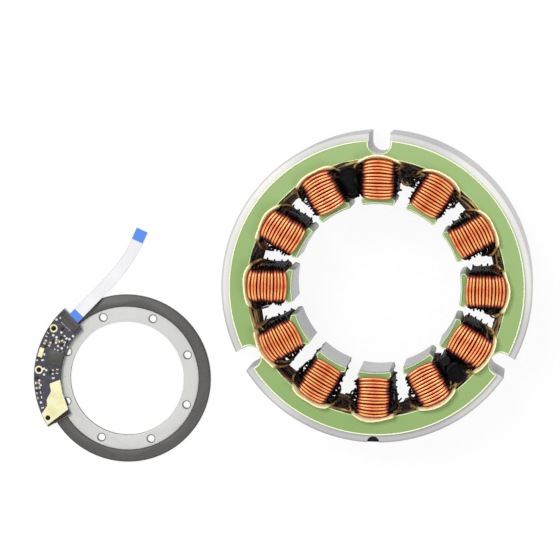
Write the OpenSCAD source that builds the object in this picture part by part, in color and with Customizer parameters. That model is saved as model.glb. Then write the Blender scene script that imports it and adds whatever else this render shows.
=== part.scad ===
// Frameless brushless motor set: wound stator, encoder ring and its read head.
// Millimetres. The stator's axis is Z, its steel core stands on z = 0 and its front faces +Z.
// The encoder ring lies beside the stator on the same surface, with the read head over its edge.

/* [Stator core] */
// Diameter of the bore that the rotor runs in
bore_d = 54; // [50:1:60]
// Depth of a slot, from the bore to the yoke's inner wall
slot_depth = 15; // [14:0.5:18]
// Thickness of the yoke, from the slots to the outer wall
yoke_w = 8; // [7:0.5:10]
// Length of the laminated stack
core_l = 26; // [16:1:40]
// Width of a tooth's neck
tooth_w = 7; // [6:0.1:7.4]
// Thickness of a pole shoe at the slot's mouth
shoe_tip = 1.2; // [0.8:0.1:1.4]
// Thickness of a pole shoe where it meets the tooth
shoe_root = 2; // [1.7:0.1:2.4]
// Width of the slot's mouth between two shoes
mouth_w = 4.4; // [3.4:0.1:4.8]
// Width of each location notch in the outer wall
notch_w = 6.8; // [5:0.1:8]
// Depth of each location notch
notch_depth = 6.9; // [5.4:0.1:7]
// Radius of the small index notch
index_r = 2; // [1:0.1:3]

/* [Insulation] */
// Thickness of the green coat on each end of the core
coat_t = 1; // [0.6:0.1:1.4]
// Width of the bare steel band round the coat
bare_band = 2.7; // [1.5:0.1:4]
// Set-back of the coat from the bore and the notch walls
coat_setback = 0.5; // [0.2:0.1:0.8]
// Thickness of the coat on the slot walls
slot_coat_t = 0.4; // [0.2:0.05:0.5]
// Thickness of the paper liner in each slot
liner_t = 0.25; // [0.15:0.05:0.3]
// Thickness of the paper collar behind each coil
collar_t = 0.3; // [0.2:0.05:0.4]
// Height of a paper collar above the coat
collar_h = 2.6; // [1.5:0.1:3]
// How far a collar's edge leans out over the yoke
collar_lean = 0.7; // [0.3:0.1:1]
// Width of a paper collar, along the yoke's wall
collar_w = 12.4; // [10:0.1:13]

/* [Coils] */
// Turns of the outer layer on each tooth
turns = 8; // [6:1:8]
// Diameter of the outer layer's wire
wire_d = 0.9; // [0.7:0.05:0.9]
// Thickness of the inner layers on the side of a tooth
bed_t = 1.15; // [0.9:0.05:1.2]
// Extra height of the inner layers over the tooth's ends
crown_rise = 1.3; // [0.8:0.1:2]
// Cut of the corners where a turn bends round the tooth
turn_corner = 1.6; // [1.4:0.1:2]
// How far a coil's lead runs on past its corner
lead_l = 1; // [0.9:0.1:1.2]
// Diameter of the sleeve on the link between two coils
link_d = 1.3; // [1:0.1:1.6]
// Diameter of the large sleeves over the phase joints
joint_d = 3.6; // [2.4:0.1:4.2]
// Diameter of the small sleeves over the neutral joints
neutral_d = 2.2; // [1.4:0.1:3]
// Length of the sleeves over the joints
joint_l = 22; // [14:1:24]

/* [Encoder ring] */
// Bore of the hub
hub_bore_d = 38; // [36:0.5:40]
// Width of the hub's face, from its bore to the pole ring
hub_w = 5; // [4.4:0.1:6]
// Width of the pole ring's face
band_w = 4; // [3.4:0.1:5]
// How far the hub's flange reaches under the pole ring
flange_w = 2.5; // [2:0.1:3]
// Thickness of the hub
hub_t = 1.3; // [1.1:0.1:1.5]
// Thickness of the hub's flange
flange_t = 0.6; // [0.4:0.1:0.8]
// Thickness of the pole ring
band_t = 1.8; // [1.6:0.1:2.4]
// Diameter of the hub's screw holes
hole_d = 2.3; // [1.6:0.1:2.4]
// Diameter of the countersinks of the hub's screw holes
sink_d = 3.2; // [2.8:0.1:3.4]
// Room between the stator and the ring, left to right
ring_clear = 6; // [4:1:20]
// Distance of the ring's axis from the stator's, to the front
ring_front = 35; // [20:1:40]

/* [Read head] */
// Air gap between the pole ring and the board
air_gap = 0.3; // [0.2:0.05:0.5]
// Thickness of the circuit board
board_t = 1; // [0.8:0.1:1.6]
// How far the board reaches in past the pole ring
board_lap = 2; // [1.6:0.1:2.4]
// How far the board reaches out past the pole ring
board_reach = 3.1; // [2.9:0.1:4]
// Distance of the mounting holes' centres from the board's outer edge
board_hole_in = 1.6; // [1.4:0.1:1.9]
// Diameter of the board's mounting holes
board_hole_d = 1.7; // [1.2:0.1:1.8]
// Outer diameter of the eyelets round the mounting holes
eyelet_d = 2.7; // [2.2:0.1:2.8]
// Thickness of the eyelets
eyelet_t = 0.12; // [0.06:0.01:0.2]
// Side of the square sensor chip
chip_w = 5; // [4:0.1:5.4]
// Height of the sensor chip
chip_h = 0.9; // [0.6:0.1:1.2]
// Length of a small component
small_l = 1.6; // [1.2:0.1:1.8]
// Width of a small component
small_w = 0.8; // [0.5:0.1:0.9]
// Height of a small component
small_h = 0.5; // [0.3:0.05:0.7]
// Thickness of the cream connector housing
housing_t = 0.9; // [0.6:0.1:1.4]

/* [Flat cable] */
// Width of the flat cable
cable_w = 4; // [3:0.1:4.2]
// Thickness of the flat cable
cable_t = 0.3; // [0.2:0.05:0.4]
// Width of the cable connector
conn_w = 6.2; // [5.8:0.1:6.6]
// Depth of the cable connector, along the cable
conn_l = 3.6; // [3.4:0.1:4]
// Height of the cable connector
conn_h = 1.2; // [1.1:0.05:1.5]
// Length of the flip lock, from its hinge to its lip
lock_l = 1.5; // [1.2:0.1:1.6]
// Thickness of the flip lock
lock_t = 0.44; // [0.3:0.02:0.48]
// Width of the ears that carry the flip lock
ear_w = 0.6; // [0.4:0.05:0.8]
// Diameter of the flip lock's pivot
pivot_d = 0.4; // [0.3:0.02:0.5]
// Length of the blue stiffener that shows at the connector
stiff_l = 2.6; // [2:0.1:4]
// Length of the blue stiffener at the cable's free end
tip_l = 4; // [3:0.1:6]
// Thickness of the stiffeners
stiff_t = 0.2; // [0.1:0.02:0.3]

/* [Hidden] */
$fn = 96;

// Counts and angles
teeth = 12;
pitch_angle = 360 / teeth;
notches = 3;
first_notch_angle = 90;
index_angle = 270;
hub_holes = 8;
board_from = 133;
board_to = 213;
board_hole_angles = [146.6, 175.7, 207.8];
cable_angle = 47;
joint_slots = [105, 315];
neutral_slots = [75, 285];

// Clearances and the overrun of every cut
over = 1;
fit = 0.05;
layer_gap = 0.1;
collar_gap = 0.1;
bond = 0.05;

// Stator, worked out from the sizes above
bore_r = bore_d / 2;
yoke_r = bore_r + slot_depth;
core_r = yoke_r + yoke_w;
mid_z = core_l / 2;
neck_wall = tooth_w / 2 + slot_coat_t + liner_t;

// One turn of a coil, seen along its tooth
wire_r = wire_d / 2;
sides = 5;
flat_share = cos(180 / sides);
bed_half_w = neck_wall + fit + bed_t;
bed_half_h = core_l / 2 + coat_t + fit + bed_t + crown_rise;
turn_half_w = bed_half_w + layer_gap + wire_r;
turn_half_h = bed_half_h + layer_gap + wire_r;
coil_half_h = turn_half_h + wire_r * flat_share;
bed_corner = turn_corner / (2 - sqrt(2)) - layer_gap - wire_r;
coil_from = bore_r + shoe_root + slot_coat_t + liner_t + fit;
liner_r = yoke_r - slot_coat_t - liner_t;
coil_to = sqrt(liner_r ^ 2 - (turn_half_w + wire_r) ^ 2) - fit;
wire_half = wire_r * max([for (s = [0 : sides - 1]) sin((1 + 2 * s) * 180 / sides)]);
first_turn = coil_to - wire_half - fit;
last_turn = coil_from + wire_half + fit;
turn_pitch = (first_turn - last_turn) / turns;
bed_from = last_turn + wire_half + layer_gap;
bed_to = coil_to;
front_z = core_l + coat_t;
rest_z = mid_z - coil_half_h;
crown_z = mid_z + turn_half_h;

// Encoder, worked out from the sizes above
hub_bore_r = hub_bore_d / 2;
band_r = hub_bore_r + hub_w;
flange_r = band_r + flange_w;
ring_r = band_r + band_w;
ring_left = core_r + ring_clear + ring_r;
hole_share = 0.55;
hole_at = hub_bore_r + hub_w * hole_share;
board_in = band_r - board_lap;
board_out = ring_r + board_reach;
board_hole_at = board_out - board_hole_in;
board_z = rest_z + band_t + air_gap;
top_z = board_z + board_t;
board_w = board_out - board_in;
board_sweep = board_to - board_from;
conn_share = 0.5;
conn_at = board_in + board_w * conn_share;
conn_angle = 136;
conn_x = conn_at * cos(conn_angle);
conn_y = conn_at * sin(conn_angle);

// Steel core

// One slot's outline, with the slot's own axis along +X. grow moves every wall into the steel.
module slot_shape(grow) {
    half = tooth_w / 2 - grow;
    s = sin(pitch_angle / 2);
    c = cos(pitch_angle / 2);
    tip_x = bore_r + shoe_tip - grow;
    root = bore_r + shoe_root - grow;
    intersection() {
        circle(yoke_r + grow, $fn = 180);
        polygon([
            [tip_x, mouth_w / 2],
            [root * c + half * s, root * s - half * c],
            [core_r * c + half * s, core_r * s - half * c],
            [core_r * c + half * s, half * c - core_r * s],
            [root * c + half * s, half * c - root * s],
            [tip_x, -mouth_w / 2]
        ]);
    }
}

// A location notch with a round floor, or the coat's wider cut with grow
module notch_shape(grow) {
    floor_r = notch_w / 2 + grow;
    floor_at = core_r - notch_depth + notch_w / 2;
    translate([floor_at, 0]) circle(floor_r);
    translate([floor_at, -floor_r]) square([core_r, floor_r * 2]);
}

module each_tooth(from = 0) {
    for (i = [0 : teeth - 1]) rotate(from + i * pitch_angle) children();
}

// The core's outline: yoke, teeth and pole shoes. skin brings the slot walls in.
module core_shape(outer_r, inner_r, skin, notch_grow, index_cut) {
    difference() {
        circle(outer_r, $fn = 180);
        circle(inner_r, $fn = 180);
        each_tooth(pitch_angle / 2) {
            slot_shape(-skin);
            translate([bore_r - over, -mouth_w / 2]) square([over + shoe_root, mouth_w]);
        }
        for (i = [0 : notches - 1]) rotate(first_notch_angle + i * 360 / notches) notch_shape(notch_grow);
        if (index_cut) rotate(index_angle) translate([core_r, 0]) circle(index_r);
    }
}

module lamination_core() {
    color([0.78, 0.78, 0.79]) linear_extrude(core_l) core_shape(core_r, bore_r, 0, 0, true);
}

module end_coat() {
    linear_extrude(coat_t)
        core_shape(core_r - bare_band, bore_r + coat_setback, slot_coat_t, coat_setback, false);
}

module front_coat() {
    color([0.6, 0.76, 0.46]) translate([0, 0, core_l]) end_coat();
}

module rear_coat() {
    color([0.6, 0.76, 0.46]) translate([0, 0, -coat_t]) end_coat();
}

// A skin on the walls of every slot, open at the mouth
module slot_skin(outer, inner) {
    each_tooth(pitch_angle / 2) difference() {
        slot_shape(-outer);
        slot_shape(-inner);
        translate([bore_r, -mouth_w / 2]) square([shoe_root + over, mouth_w]);
    }
}

module slot_coat() {
    color([0.6, 0.76, 0.46]) linear_extrude(core_l) slot_skin(0, slot_coat_t);
}

module slot_liners() {
    color([0.93, 0.86, 0.62]) translate([0, 0, -coat_t]) linear_extrude(core_l + 2 * coat_t)
        slot_skin(slot_coat_t + fit / 2, slot_coat_t + liner_t);
}

// A paper collar stands behind a coil and leans out over the yoke
module collar_ring() {
    half_angle = asin(collar_w / 2 / yoke_r);
    foot = yoke_r - collar_gap - collar_t;
    each_tooth() rotate(-half_angle) rotate_extrude(angle = 2 * half_angle) polygon([
        [foot, 0],
        [foot + collar_t, 0],
        [foot + collar_t, coat_t / 2],
        [foot + collar_t + collar_lean, collar_h],
        [foot + collar_lean, collar_h],
        [foot, coat_t / 2]
    ]);
}

module front_collars() {
    color([0.95, 0.88, 0.62]) translate([0, 0, front_z]) collar_ring();
}

module rear_collars() {
    color([0.95, 0.88, 0.62]) translate([0, 0, -coat_t]) mirror([0, 0, 1]) collar_ring();
}

// Coils

module round_block(half_w, half_h, r) {
    square([2 * (half_w - r), 2 * half_h], center = true);
    square([2 * half_w, 2 * (half_h - r)], center = true);
    for (x = [-1, 1], y = [-1, 1]) translate([x * (half_w - r), y * (half_h - r)]) circle(r);
}

// The inner layers of a coil, one plain sleeve round the tooth
module coil_bed() {
    translate([bed_from, 0, mid_z]) rotate([90, 0, 90]) linear_extrude(bed_to - bed_from) difference() {
        round_block(bed_half_w, bed_half_h, bed_corner);
        square([2 * (neck_wall + fit), 2 * (core_l / 2 + coat_t + fit)], center = true);
    }
}

// The eight corners of one turn, as [across the tooth, along the axis], and the way out at each
w_in = turn_half_w - turn_corner;
h_in = turn_half_h - turn_corner;
turn_corners = [
    [w_in, turn_half_h], [turn_half_w, h_in], [turn_half_w, -h_in], [w_in, -turn_half_h],
    [-w_in, -turn_half_h], [-turn_half_w, -h_in], [-turn_half_w, h_in], [-w_in, turn_half_h]
];
corner_count = len(turn_corners);
half_bend = 180 / corner_count;
turn_ways = [67.5, 22.5, -22.5, -67.5, -112.5, -157.5, 157.5, 112.5];

// A ring of the wire: centre [out along the tooth, across, up], way out of the coil, and stretch
function wire_ring(centre, way, stretch) = [
    for (s = [0 : sides - 1]) let (a = 180 / sides + s * 360 / sides, out = wire_r * cos(a) * stretch)
        centre + [wire_r * sin(a), out * cos(way), out * sin(way)]
];

// The wire starts as a lead past the front corner, winds towards the pole shoe, and ends in the tooth's side
lead_ring = wire_ring([first_turn, -turn_half_w - lead_l, crown_z - mid_z], 90, 1);
turn_rings = [
    for (i = [0 : turns * corner_count]) let (
        c = turn_corners[i % corner_count],
        r = first_turn - turn_pitch * i / corner_count
    )
        wire_ring([r, c[0], c[1]], turn_ways[i % corner_count], 1 / cos(half_bend))
];
dive_z = h_in - turn_corner;
dive_r = last_turn;
dive_rings = [
    wire_ring([dive_r, turn_half_w, h_in], turn_ways[1], 1 / cos(half_bend)),
    [for (s = [0 : sides - 1]) let (a = 180 / sides + s * 360 / sides, out = wire_r * cos(a))
        [dive_r + wire_r * sin(a), turn_half_w + out, dive_z - out]],
    [for (s = [0 : sides - 1]) let (a = 180 / sides + s * 360 / sides, out = wire_r * cos(a))
        [dive_r + wire_r * sin(a), neck_wall + fit, dive_z - out]]
];
coil_rings = concat([lead_ring], turn_rings, dive_rings);

// Joins a list of rings into a closed tube
module tube(rings) {
    n = len(rings[0]);
    last = len(rings) - 1;
    polyhedron(
        points = [for (ring = rings) each ring],
        faces = concat(
            [[for (s = [0 : n - 1]) s]],
            [for (i = [0 : last - 1], s = [0 : n - 1], half = [0, 1]) let (
                a = i * n + s,
                b = i * n + (s + 1) % n
            ) half == 0 ? [a, a + n, b + n] : [a, b + n, b]],
            [[for (s = [n - 1 : -1 : 0]) last * n + s]]
        )
    );
}

// Least gap between one turn and the next, measured on the points of the wire
wire_gap = min([
    for (i = [0 : len(turn_rings) - 1], j = [i + 4 : min(i + corner_count + 2, len(turn_rings) - 1)])
        if (j < len(turn_rings)) min([for (p = turn_rings[i], q = turn_rings[j]) norm(p - q)])
]);
echo(least_gap_of_the_wire_to_itself = wire_gap);

module coil(number) {
    color([0.85, 0.45, 0.2]) rotate(first_notch_angle - number * pitch_angle) {
        coil_bed();
        translate([0, 0, mid_z]) tube(coil_rings);
    }
}

// A sleeved link runs from a coil's lead over the slot to the next coil
module link_sleeves() {
    lead_end = [first_turn, turn_half_w + lead_l + fit];
    reach = norm(lead_end);
    off_axis = pitch_angle / 2 - atan(lead_end[1] / lead_end[0]);
    bend_r = reach * sin(off_axis) / sin(pitch_angle / 2);
    bend_x = reach * cos(off_axis) - bend_r * cos(pitch_angle / 2);
    color([0.9, 0.82, 0.55]) each_tooth(pitch_angle / 2) translate([bend_x, 0, crown_z])
        rotate(-pitch_angle / 2) rotate_extrude(angle = pitch_angle) translate([bend_r, 0])
            circle(d = link_d, $fn = 24);
}

// A sleeve stands in a slot, with its outer side at the given radius
module slot_sleeve(d, outer_at) {
    translate([outer_at - d / 2, 0, front_z - joint_l]) cylinder(h = joint_l, d = d, $fn = 32);
}

// Three phase joints lie one behind the other, from the liner on the yoke's wall inwards
joint_shares = [1, 1, 0.75];
sleeve_wall = liner_r - layer_gap - fit;
module joint_sleeves() {
    color([0.08, 0.07, 0.08]) for (a = joint_slots) rotate(a) for (i = [0 : len(joint_shares) - 1])
        slot_sleeve(joint_d * joint_shares[i], sleeve_wall - i * (joint_d + layer_gap));
}

module neutral_sleeves() {
    color([0.1, 0.08, 0.08]) for (a = neutral_slots) rotate(a) slot_sleeve(neutral_d, sleeve_wall);
}

// Encoder ring

module at_ring() {
    translate([-ring_left, -ring_front, 0]) children();
}

module ring_hub() {
    color([0.84, 0.84, 0.83]) at_ring() translate([0, 0, rest_z]) difference() {
        rotate_extrude($fn = 180) polygon([
            [hub_bore_r, 0],
            [flange_r, 0],
            [flange_r, flange_t],
            [band_r, flange_t],
            [band_r, hub_t],
            [hub_bore_r, hub_t]
        ]);
        for (i = [0 : hub_holes - 1]) rotate((i + 0.5) * 360 / hub_holes) translate([hole_at, 0, 0]) {
            translate([0, 0, -over]) cylinder(h = hub_t + 2 * over, d = hole_d, $fn = 32);
            translate([0, 0, hub_t - (sink_d - hole_d) / 2])
                cylinder(h = sink_d - hole_d, d1 = hole_d, d2 = hole_d + 2 * (sink_d - hole_d), $fn = 32);
        }
        rotate(180) translate([hole_at, 0, hub_t - eyelet_t]) linear_extrude(over)
            polygon([[-hole_d / 2, 0], [hole_d / 3, hole_d / 3], [hole_d / 3, -hole_d / 3]]);
    }
}

module pole_ring() {
    color([0.33, 0.33, 0.32]) at_ring() translate([0, 0, rest_z]) rotate_extrude($fn = 180) polygon([
        [band_r + bond, flange_t + bond],
        [flange_r + bond, flange_t + bond],
        [flange_r + bond, 0],
        [ring_r, 0],
        [ring_r, band_t],
        [band_r + bond, band_t]
    ]);
}

// Read head

// A point on the board: share of its width from the inner edge, share of its sweep
function on_board(share_r, share_a) = let (
    r = board_in + board_w * share_r,
    a = board_from + board_sweep * share_a
) [r * cos(a), r * sin(a)];

module board_place(share_r, share_a, turn = 0) {
    p = on_board(share_r, share_a);
    at_ring() translate([p[0], p[1], top_z]) rotate(board_from + board_sweep * share_a + turn) children();
}

module readhead_board() {
    color([0.2, 0.19, 0.3]) at_ring() translate([0, 0, board_z]) linear_extrude(board_t) difference() {
        rotate(board_from) arc_band(board_in, board_out, board_sweep);
        for (a = board_hole_angles) rotate(a) translate([board_hole_at, 0]) circle(d = board_hole_d);
    }
}

// A flat sector of a ring, from +X round by sweep degrees
module arc_band(inner, outer, sweep) {
    far = outer * 2;
    difference() {
        circle(outer, $fn = 180);
        circle(inner, $fn = 180);
        rotate(sweep) translate([-far, 0]) square([2 * far, far]);
        translate([-far, -far]) square([2 * far, far]);
    }
}

module board_eyelets() {
    color([0.93, 0.92, 0.78]) at_ring() for (i = [0, 1]) rotate(board_hole_angles[i])
        translate([board_hole_at, 0, top_z]) linear_extrude(eyelet_t) difference() {
            circle(d = eyelet_d);
            circle(d = board_hole_d);
        }
}

module chip_body(l, w, h) {
    translate([-l / 2, -w / 2, 0]) cube([l, w, h]);
}

chip_place_shares = [0.3, 0.4];
module sensor_chip() {
    color([0.16, 0.16, 0.15]) board_place(chip_place_shares[0], chip_place_shares[1])
        chip_body(chip_w, chip_w, chip_h);
}

// Small components, each as shares across and along the board, and its turn
capacitor_shares = [
    [0.85, 0.3, 90], [0.66, 0.3, 90], [0.86, 0.64, 0], [0.86, 0.68, 0], [0.45, 0.24, 0], [0.25, 0.22, 0]
];
resistor_shares = [
    [0.9, 0.24, 90], [0.86, 0.72, 0], [0.86, 0.76, 0], [0.14, 0.53, 90], [0.3, 0.54, 90], [0.1, 0.25, 0]
];

module board_capacitors() {
    color([0.75, 0.68, 0.52]) for (c = capacitor_shares) board_place(c[0], c[1], c[2])
        chip_body(small_l, small_w, small_h);
}

module board_resistors() {
    color([0.12, 0.12, 0.13]) for (c = resistor_shares) board_place(c[0], c[1], c[2])
        chip_body(small_l, small_w, small_h * 0.7);
}

crystal_place_shares = [0.86, 0.39];
module crystal_can() {
    color([0.86, 0.86, 0.8]) board_place(crystal_place_shares[0], crystal_place_shares[1], 90)
        chip_body(small_l * 2, small_l, small_h * 1.6);
}

// The cream housing on the board's lower end, with a hole over the third mounting hole
housing_shares = [
    [0.41, 0.65], [0.02, 0.615], [0, 0.76], [0.01, 0.95], [0.97, 0.985], [0.97, 0.885],
    [0.67, 0.84], [0.625, 0.79], [0.4, 0.725]
];
module plug_housing() {
    color([0.93, 0.91, 0.74]) at_ring() translate([0, 0, top_z]) linear_extrude(housing_t) difference() {
        polygon([for (p = housing_shares) on_board(p[0], p[1])]);
        rotate(board_hole_angles[2]) translate([board_hole_at, 0]) circle(d = board_hole_d);
    }
}

// Contacts on the board's end face, under the housing
contact_count = 6;
module edge_contacts() {
    first = board_in + small_l;
    step = (board_w - 3 * small_l) / (contact_count - 1);
    color([0.55, 0.45, 0.25]) at_ring() rotate(board_to) for (i = [0 : contact_count - 1])
        translate([first + i * step, 0, board_z]) cube([small_w * 0.75, small_h / 2, board_t]);
}

// Flat cable and its connector: +Y runs out along the cable, X across it
module at_connector() {
    at_ring() translate([conn_x, conn_y, top_z]) rotate(cable_angle - 90) children();
}

slot_floor = conn_h * 0.35;
slot_h = cable_t + stiff_t + 2 * fit;
bed_h = conn_h - lock_t - 2 * fit;
hinge_y = -conn_l / 2 + pivot_d;
hinge_z = conn_h - lock_t / 2 - fit;
module cable_connector() {
    lock_room = lock_l + pivot_d;
    color([0.2, 0.18, 0.2]) at_connector() difference() {
        translate([-conn_w / 2, -conn_l / 2, 0]) cube([conn_w, conn_l, conn_h]);
        translate([-conn_w / 2 + ear_w, -conn_l / 2 - over, bed_h])
            cube([conn_w - 2 * ear_w, lock_room + over + fit, conn_h]);
        translate([-cable_w / 2 - fit, -conn_l / 2 + lock_room + ear_w, slot_floor - fit])
            cube([cable_w + 2 * fit, conn_l, slot_h]);
        translate([-conn_w, hinge_y, hinge_z]) rotate([0, 90, 0])
            cylinder(h = 2 * conn_w, d = pivot_d + 2 * fit, $fn = 24);
    }
}

module cable_lock() {
    flap_w = conn_w - 2 * ear_w - 2 * fit;
    color([0.14, 0.12, 0.14]) at_connector() {
        translate([-flap_w / 2, hinge_y, hinge_z - lock_t / 2]) cube([flap_w, lock_l - fit, lock_t]);
        translate([-flap_w / 2, hinge_y, hinge_z]) rotate([0, 90, 0]) cylinder(h = flap_w, d = lock_t, $fn = 24);
        translate([-conn_w / 2, hinge_y, hinge_z]) rotate([0, 90, 0]) cylinder(h = conn_w, d = pivot_d, $fn = 24);
    }
}

mouth_y = conn_l / 2;
seat_y = -conn_l / 2 + lock_l + pivot_d + ear_w + fit;
module cable_stiffener() {
    color([0.37, 0.58, 0.88]) at_connector()
        translate([-cable_w / 2, seat_y, slot_floor]) cube([cable_w, mouth_y - seat_y + stiff_l, cable_t + stiff_t]);
}

// The cable's route from the stiffener's end: along the cable's direction, across it, and height of its middle
route = [
    [0, 0, 0], [1.2, 0, 0], [2.4, 0, -0.02], [4, 0, -0.1], [5.8, 0, -0.3], [7.6, 0, -0.65], [9.4, 0, -1.15],
    [11.2, 0, -1.75], [13, 0, -2.35], [14.8, 0.1, -2.9], [16.6, 0.2, -3.35], [18.4, 0.3, -3.62],
    [20.4, 0.5, -3.7], [22.6, 0.8, -3.7], [24.8, 1.2, -3.7], [27, 1.7, -3.7], [29, 2.3, -3.7], [30.4, 2.8, -3.7]
];
cable_end = route[len(route) - 1];
end_way = atan2(cable_end[1] - route[len(route) - 2][1], cable_end[0] - route[len(route) - 2][0]);

// The cable's section: a flat octagon, as shares of its half width and half thickness
section_shares = [[1, 0.4], [0.95, 1], [-0.95, 1], [-1, 0.4], [-1, -0.4], [-0.95, -1], [0.95, -1], [1, -0.4]];
function route_step(i) = route[min(i + 1, len(route) - 1)] - route[max(i - 1, 0)];
function cable_ring(i) = let (
    d = route_step(i),
    along = d / norm(d),
    side = cross([0, 0, 1], along) / norm(cross([0, 0, 1], along)),
    up = cross(along, side)
) [for (s = section_shares) route[i] + side * s[0] * cable_w / 2 + up * s[1] * cable_t / 2];

module at_cable_start() {
    at_connector() translate([0, mouth_y + stiff_l + fit, slot_floor + stiff_t + cable_t / 2])
        rotate(90) children();
}

module flat_cable() {
    color([0.95, 0.95, 0.95]) at_cable_start() tube([for (i = [0 : len(route) - 1]) cable_ring(i)]);
}

// The cable's free end: a blue stiffener with the bare conductors in it
module cable_tip() {
    color([0.37, 0.58, 0.88]) at_cable_start() translate(cable_end) rotate(end_way)
        translate([fit, -cable_w / 2, -cable_t / 2]) cube([tip_l, cable_w, cable_t + stiff_t]);
}

lamination_core();
front_coat();
rear_coat();
slot_coat();
slot_liners();
front_collars();
rear_collars();
coil(0);  // coil_01
coil(1);  // coil_02
coil(2);  // coil_03
coil(3);  // coil_04
coil(4);  // coil_05
coil(5);  // coil_06
coil(6);  // coil_07
coil(7);  // coil_08
coil(8);  // coil_09
coil(9);  // coil_10
coil(10);  // coil_11
coil(11);  // coil_12
link_sleeves();
joint_sleeves();
neutral_sleeves();
ring_hub();
pole_ring();
readhead_board();
board_eyelets();
sensor_chip();
board_capacitors();
board_resistors();
crystal_can();
cable_connector();
cable_lock();
cable_stiffener();
flat_cable();
cable_tip();
plug_housing();
edge_contacts();
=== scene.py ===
"""Looks of a frameless brushless motor set: wound stator, encoder ring, read head and flat cable."""

import math
import random

import bmesh
import bpy
from mathutils import Matrix, Vector


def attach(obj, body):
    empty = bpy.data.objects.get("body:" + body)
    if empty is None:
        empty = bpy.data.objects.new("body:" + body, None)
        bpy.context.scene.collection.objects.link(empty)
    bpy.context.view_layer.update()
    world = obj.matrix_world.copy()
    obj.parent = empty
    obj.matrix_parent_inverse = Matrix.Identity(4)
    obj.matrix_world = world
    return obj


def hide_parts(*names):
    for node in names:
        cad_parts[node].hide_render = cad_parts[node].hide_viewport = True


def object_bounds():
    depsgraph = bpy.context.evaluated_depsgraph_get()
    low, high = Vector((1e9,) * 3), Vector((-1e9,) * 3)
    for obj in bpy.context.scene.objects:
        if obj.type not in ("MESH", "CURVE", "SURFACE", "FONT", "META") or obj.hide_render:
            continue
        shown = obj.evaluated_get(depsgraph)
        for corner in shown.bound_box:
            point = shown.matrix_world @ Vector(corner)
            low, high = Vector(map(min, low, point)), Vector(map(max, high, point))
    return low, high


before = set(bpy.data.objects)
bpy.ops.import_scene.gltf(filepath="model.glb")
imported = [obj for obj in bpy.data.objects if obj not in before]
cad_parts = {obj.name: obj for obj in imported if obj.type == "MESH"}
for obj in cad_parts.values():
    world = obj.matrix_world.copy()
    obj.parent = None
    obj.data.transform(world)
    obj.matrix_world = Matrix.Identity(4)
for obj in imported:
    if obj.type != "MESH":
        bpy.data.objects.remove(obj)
cad_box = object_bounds()

MM = 0.001
FLOOR_Z = cad_box[0].z

# The photograph's frame, and where the stator lies in it
FRAME_PX = 560
SENSOR_MM = 36
FOCAL_PX = 3120
FRONT_PX_PER_M = 3120
DEPTH_VANISHES_AT_PX = (545, 10)
STATOR_CENTRE_PX = (376.2, 288.3)
STATOR_TURN = math.radians(1.5)

# Stator sizes, in millimetres, as in the part
TEETH = 12
PITCH_ANGLE = 2 * math.pi / TEETH
CORE_L = 26
CORE_R = 50
BORE_R = 27
YOKE_R = 42
LINER_R = 41.35
COAT_T = 1
MID_Z = CORE_L / 2
FRONT_Z = CORE_L + COAT_T
COIL_HALF_H = MID_Z - FLOOR_Z / MM
COIL_HALF_W = 6.3
COIL_FROM = 29.3
COIL_TO = 40.8
NECK_HALF_W = 4.25

# Encoder sizes, in millimetres, as in the part
RING_AT = Vector((-84, -35))
RING_R = 28
BAND_R = 24
BAND_T = 1.8
BOARD_IN = 22
BOARD_OUT = 31.1
BOARD_T = 1
BOARD_Z = FLOOR_Z / MM + BAND_T + 0.3
TOP_Z = BOARD_Z + BOARD_T
BOARD_FROM = 133
BOARD_SWEEP = 80
CABLE_ANGLE = math.radians(47)
CABLE_W = 4
CABLE_T = 0.3
CONN_W = 6.2
CONN_L = 3.6
CONN_H = 1.2
CONN_ANGLE = math.radians(136)
CONN_AT = 26.55
STIFF_L = 2.6
STIFF_T = 0.2
SLOT_FLOOR = 0.42


def make_camera():
    """Stands the camera where the stator's front and its depth lines fall as in the photograph."""
    half = FRAME_PX / 2
    away = Vector((half - DEPTH_VANISHES_AT_PX[0], DEPTH_VANISHES_AT_PX[1] - half, FOCAL_PX))
    z_seen = away.normalized()
    y_seen = Vector((math.sin(STATOR_TURN), math.cos(STATOR_TURN), 0))
    y_seen = (y_seen - z_seen * y_seen.dot(z_seen)).normalized()
    x_seen = y_seen.cross(z_seen)
    turn = Matrix((x_seen, y_seen, z_seen))
    front_seen = Vector((STATOR_CENTRE_PX[0] - half, half - STATOR_CENTRE_PX[1], -FOCAL_PX)) / FRONT_PX_PER_M
    bpy.ops.object.camera_add()
    camera = bpy.context.object
    camera.data.sensor_width = SENSOR_MM
    camera.data.lens = FOCAL_PX / FRAME_PX * SENSOR_MM
    camera.data.clip_end = 20
    camera.rotation_mode = "QUATERNION"
    camera.rotation_quaternion = turn.to_quaternion()
    camera.location = Vector((0, 0, FRONT_Z * MM)) - turn @ front_seen
    bpy.context.scene.camera = camera


make_camera()


# Shader maths

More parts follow.
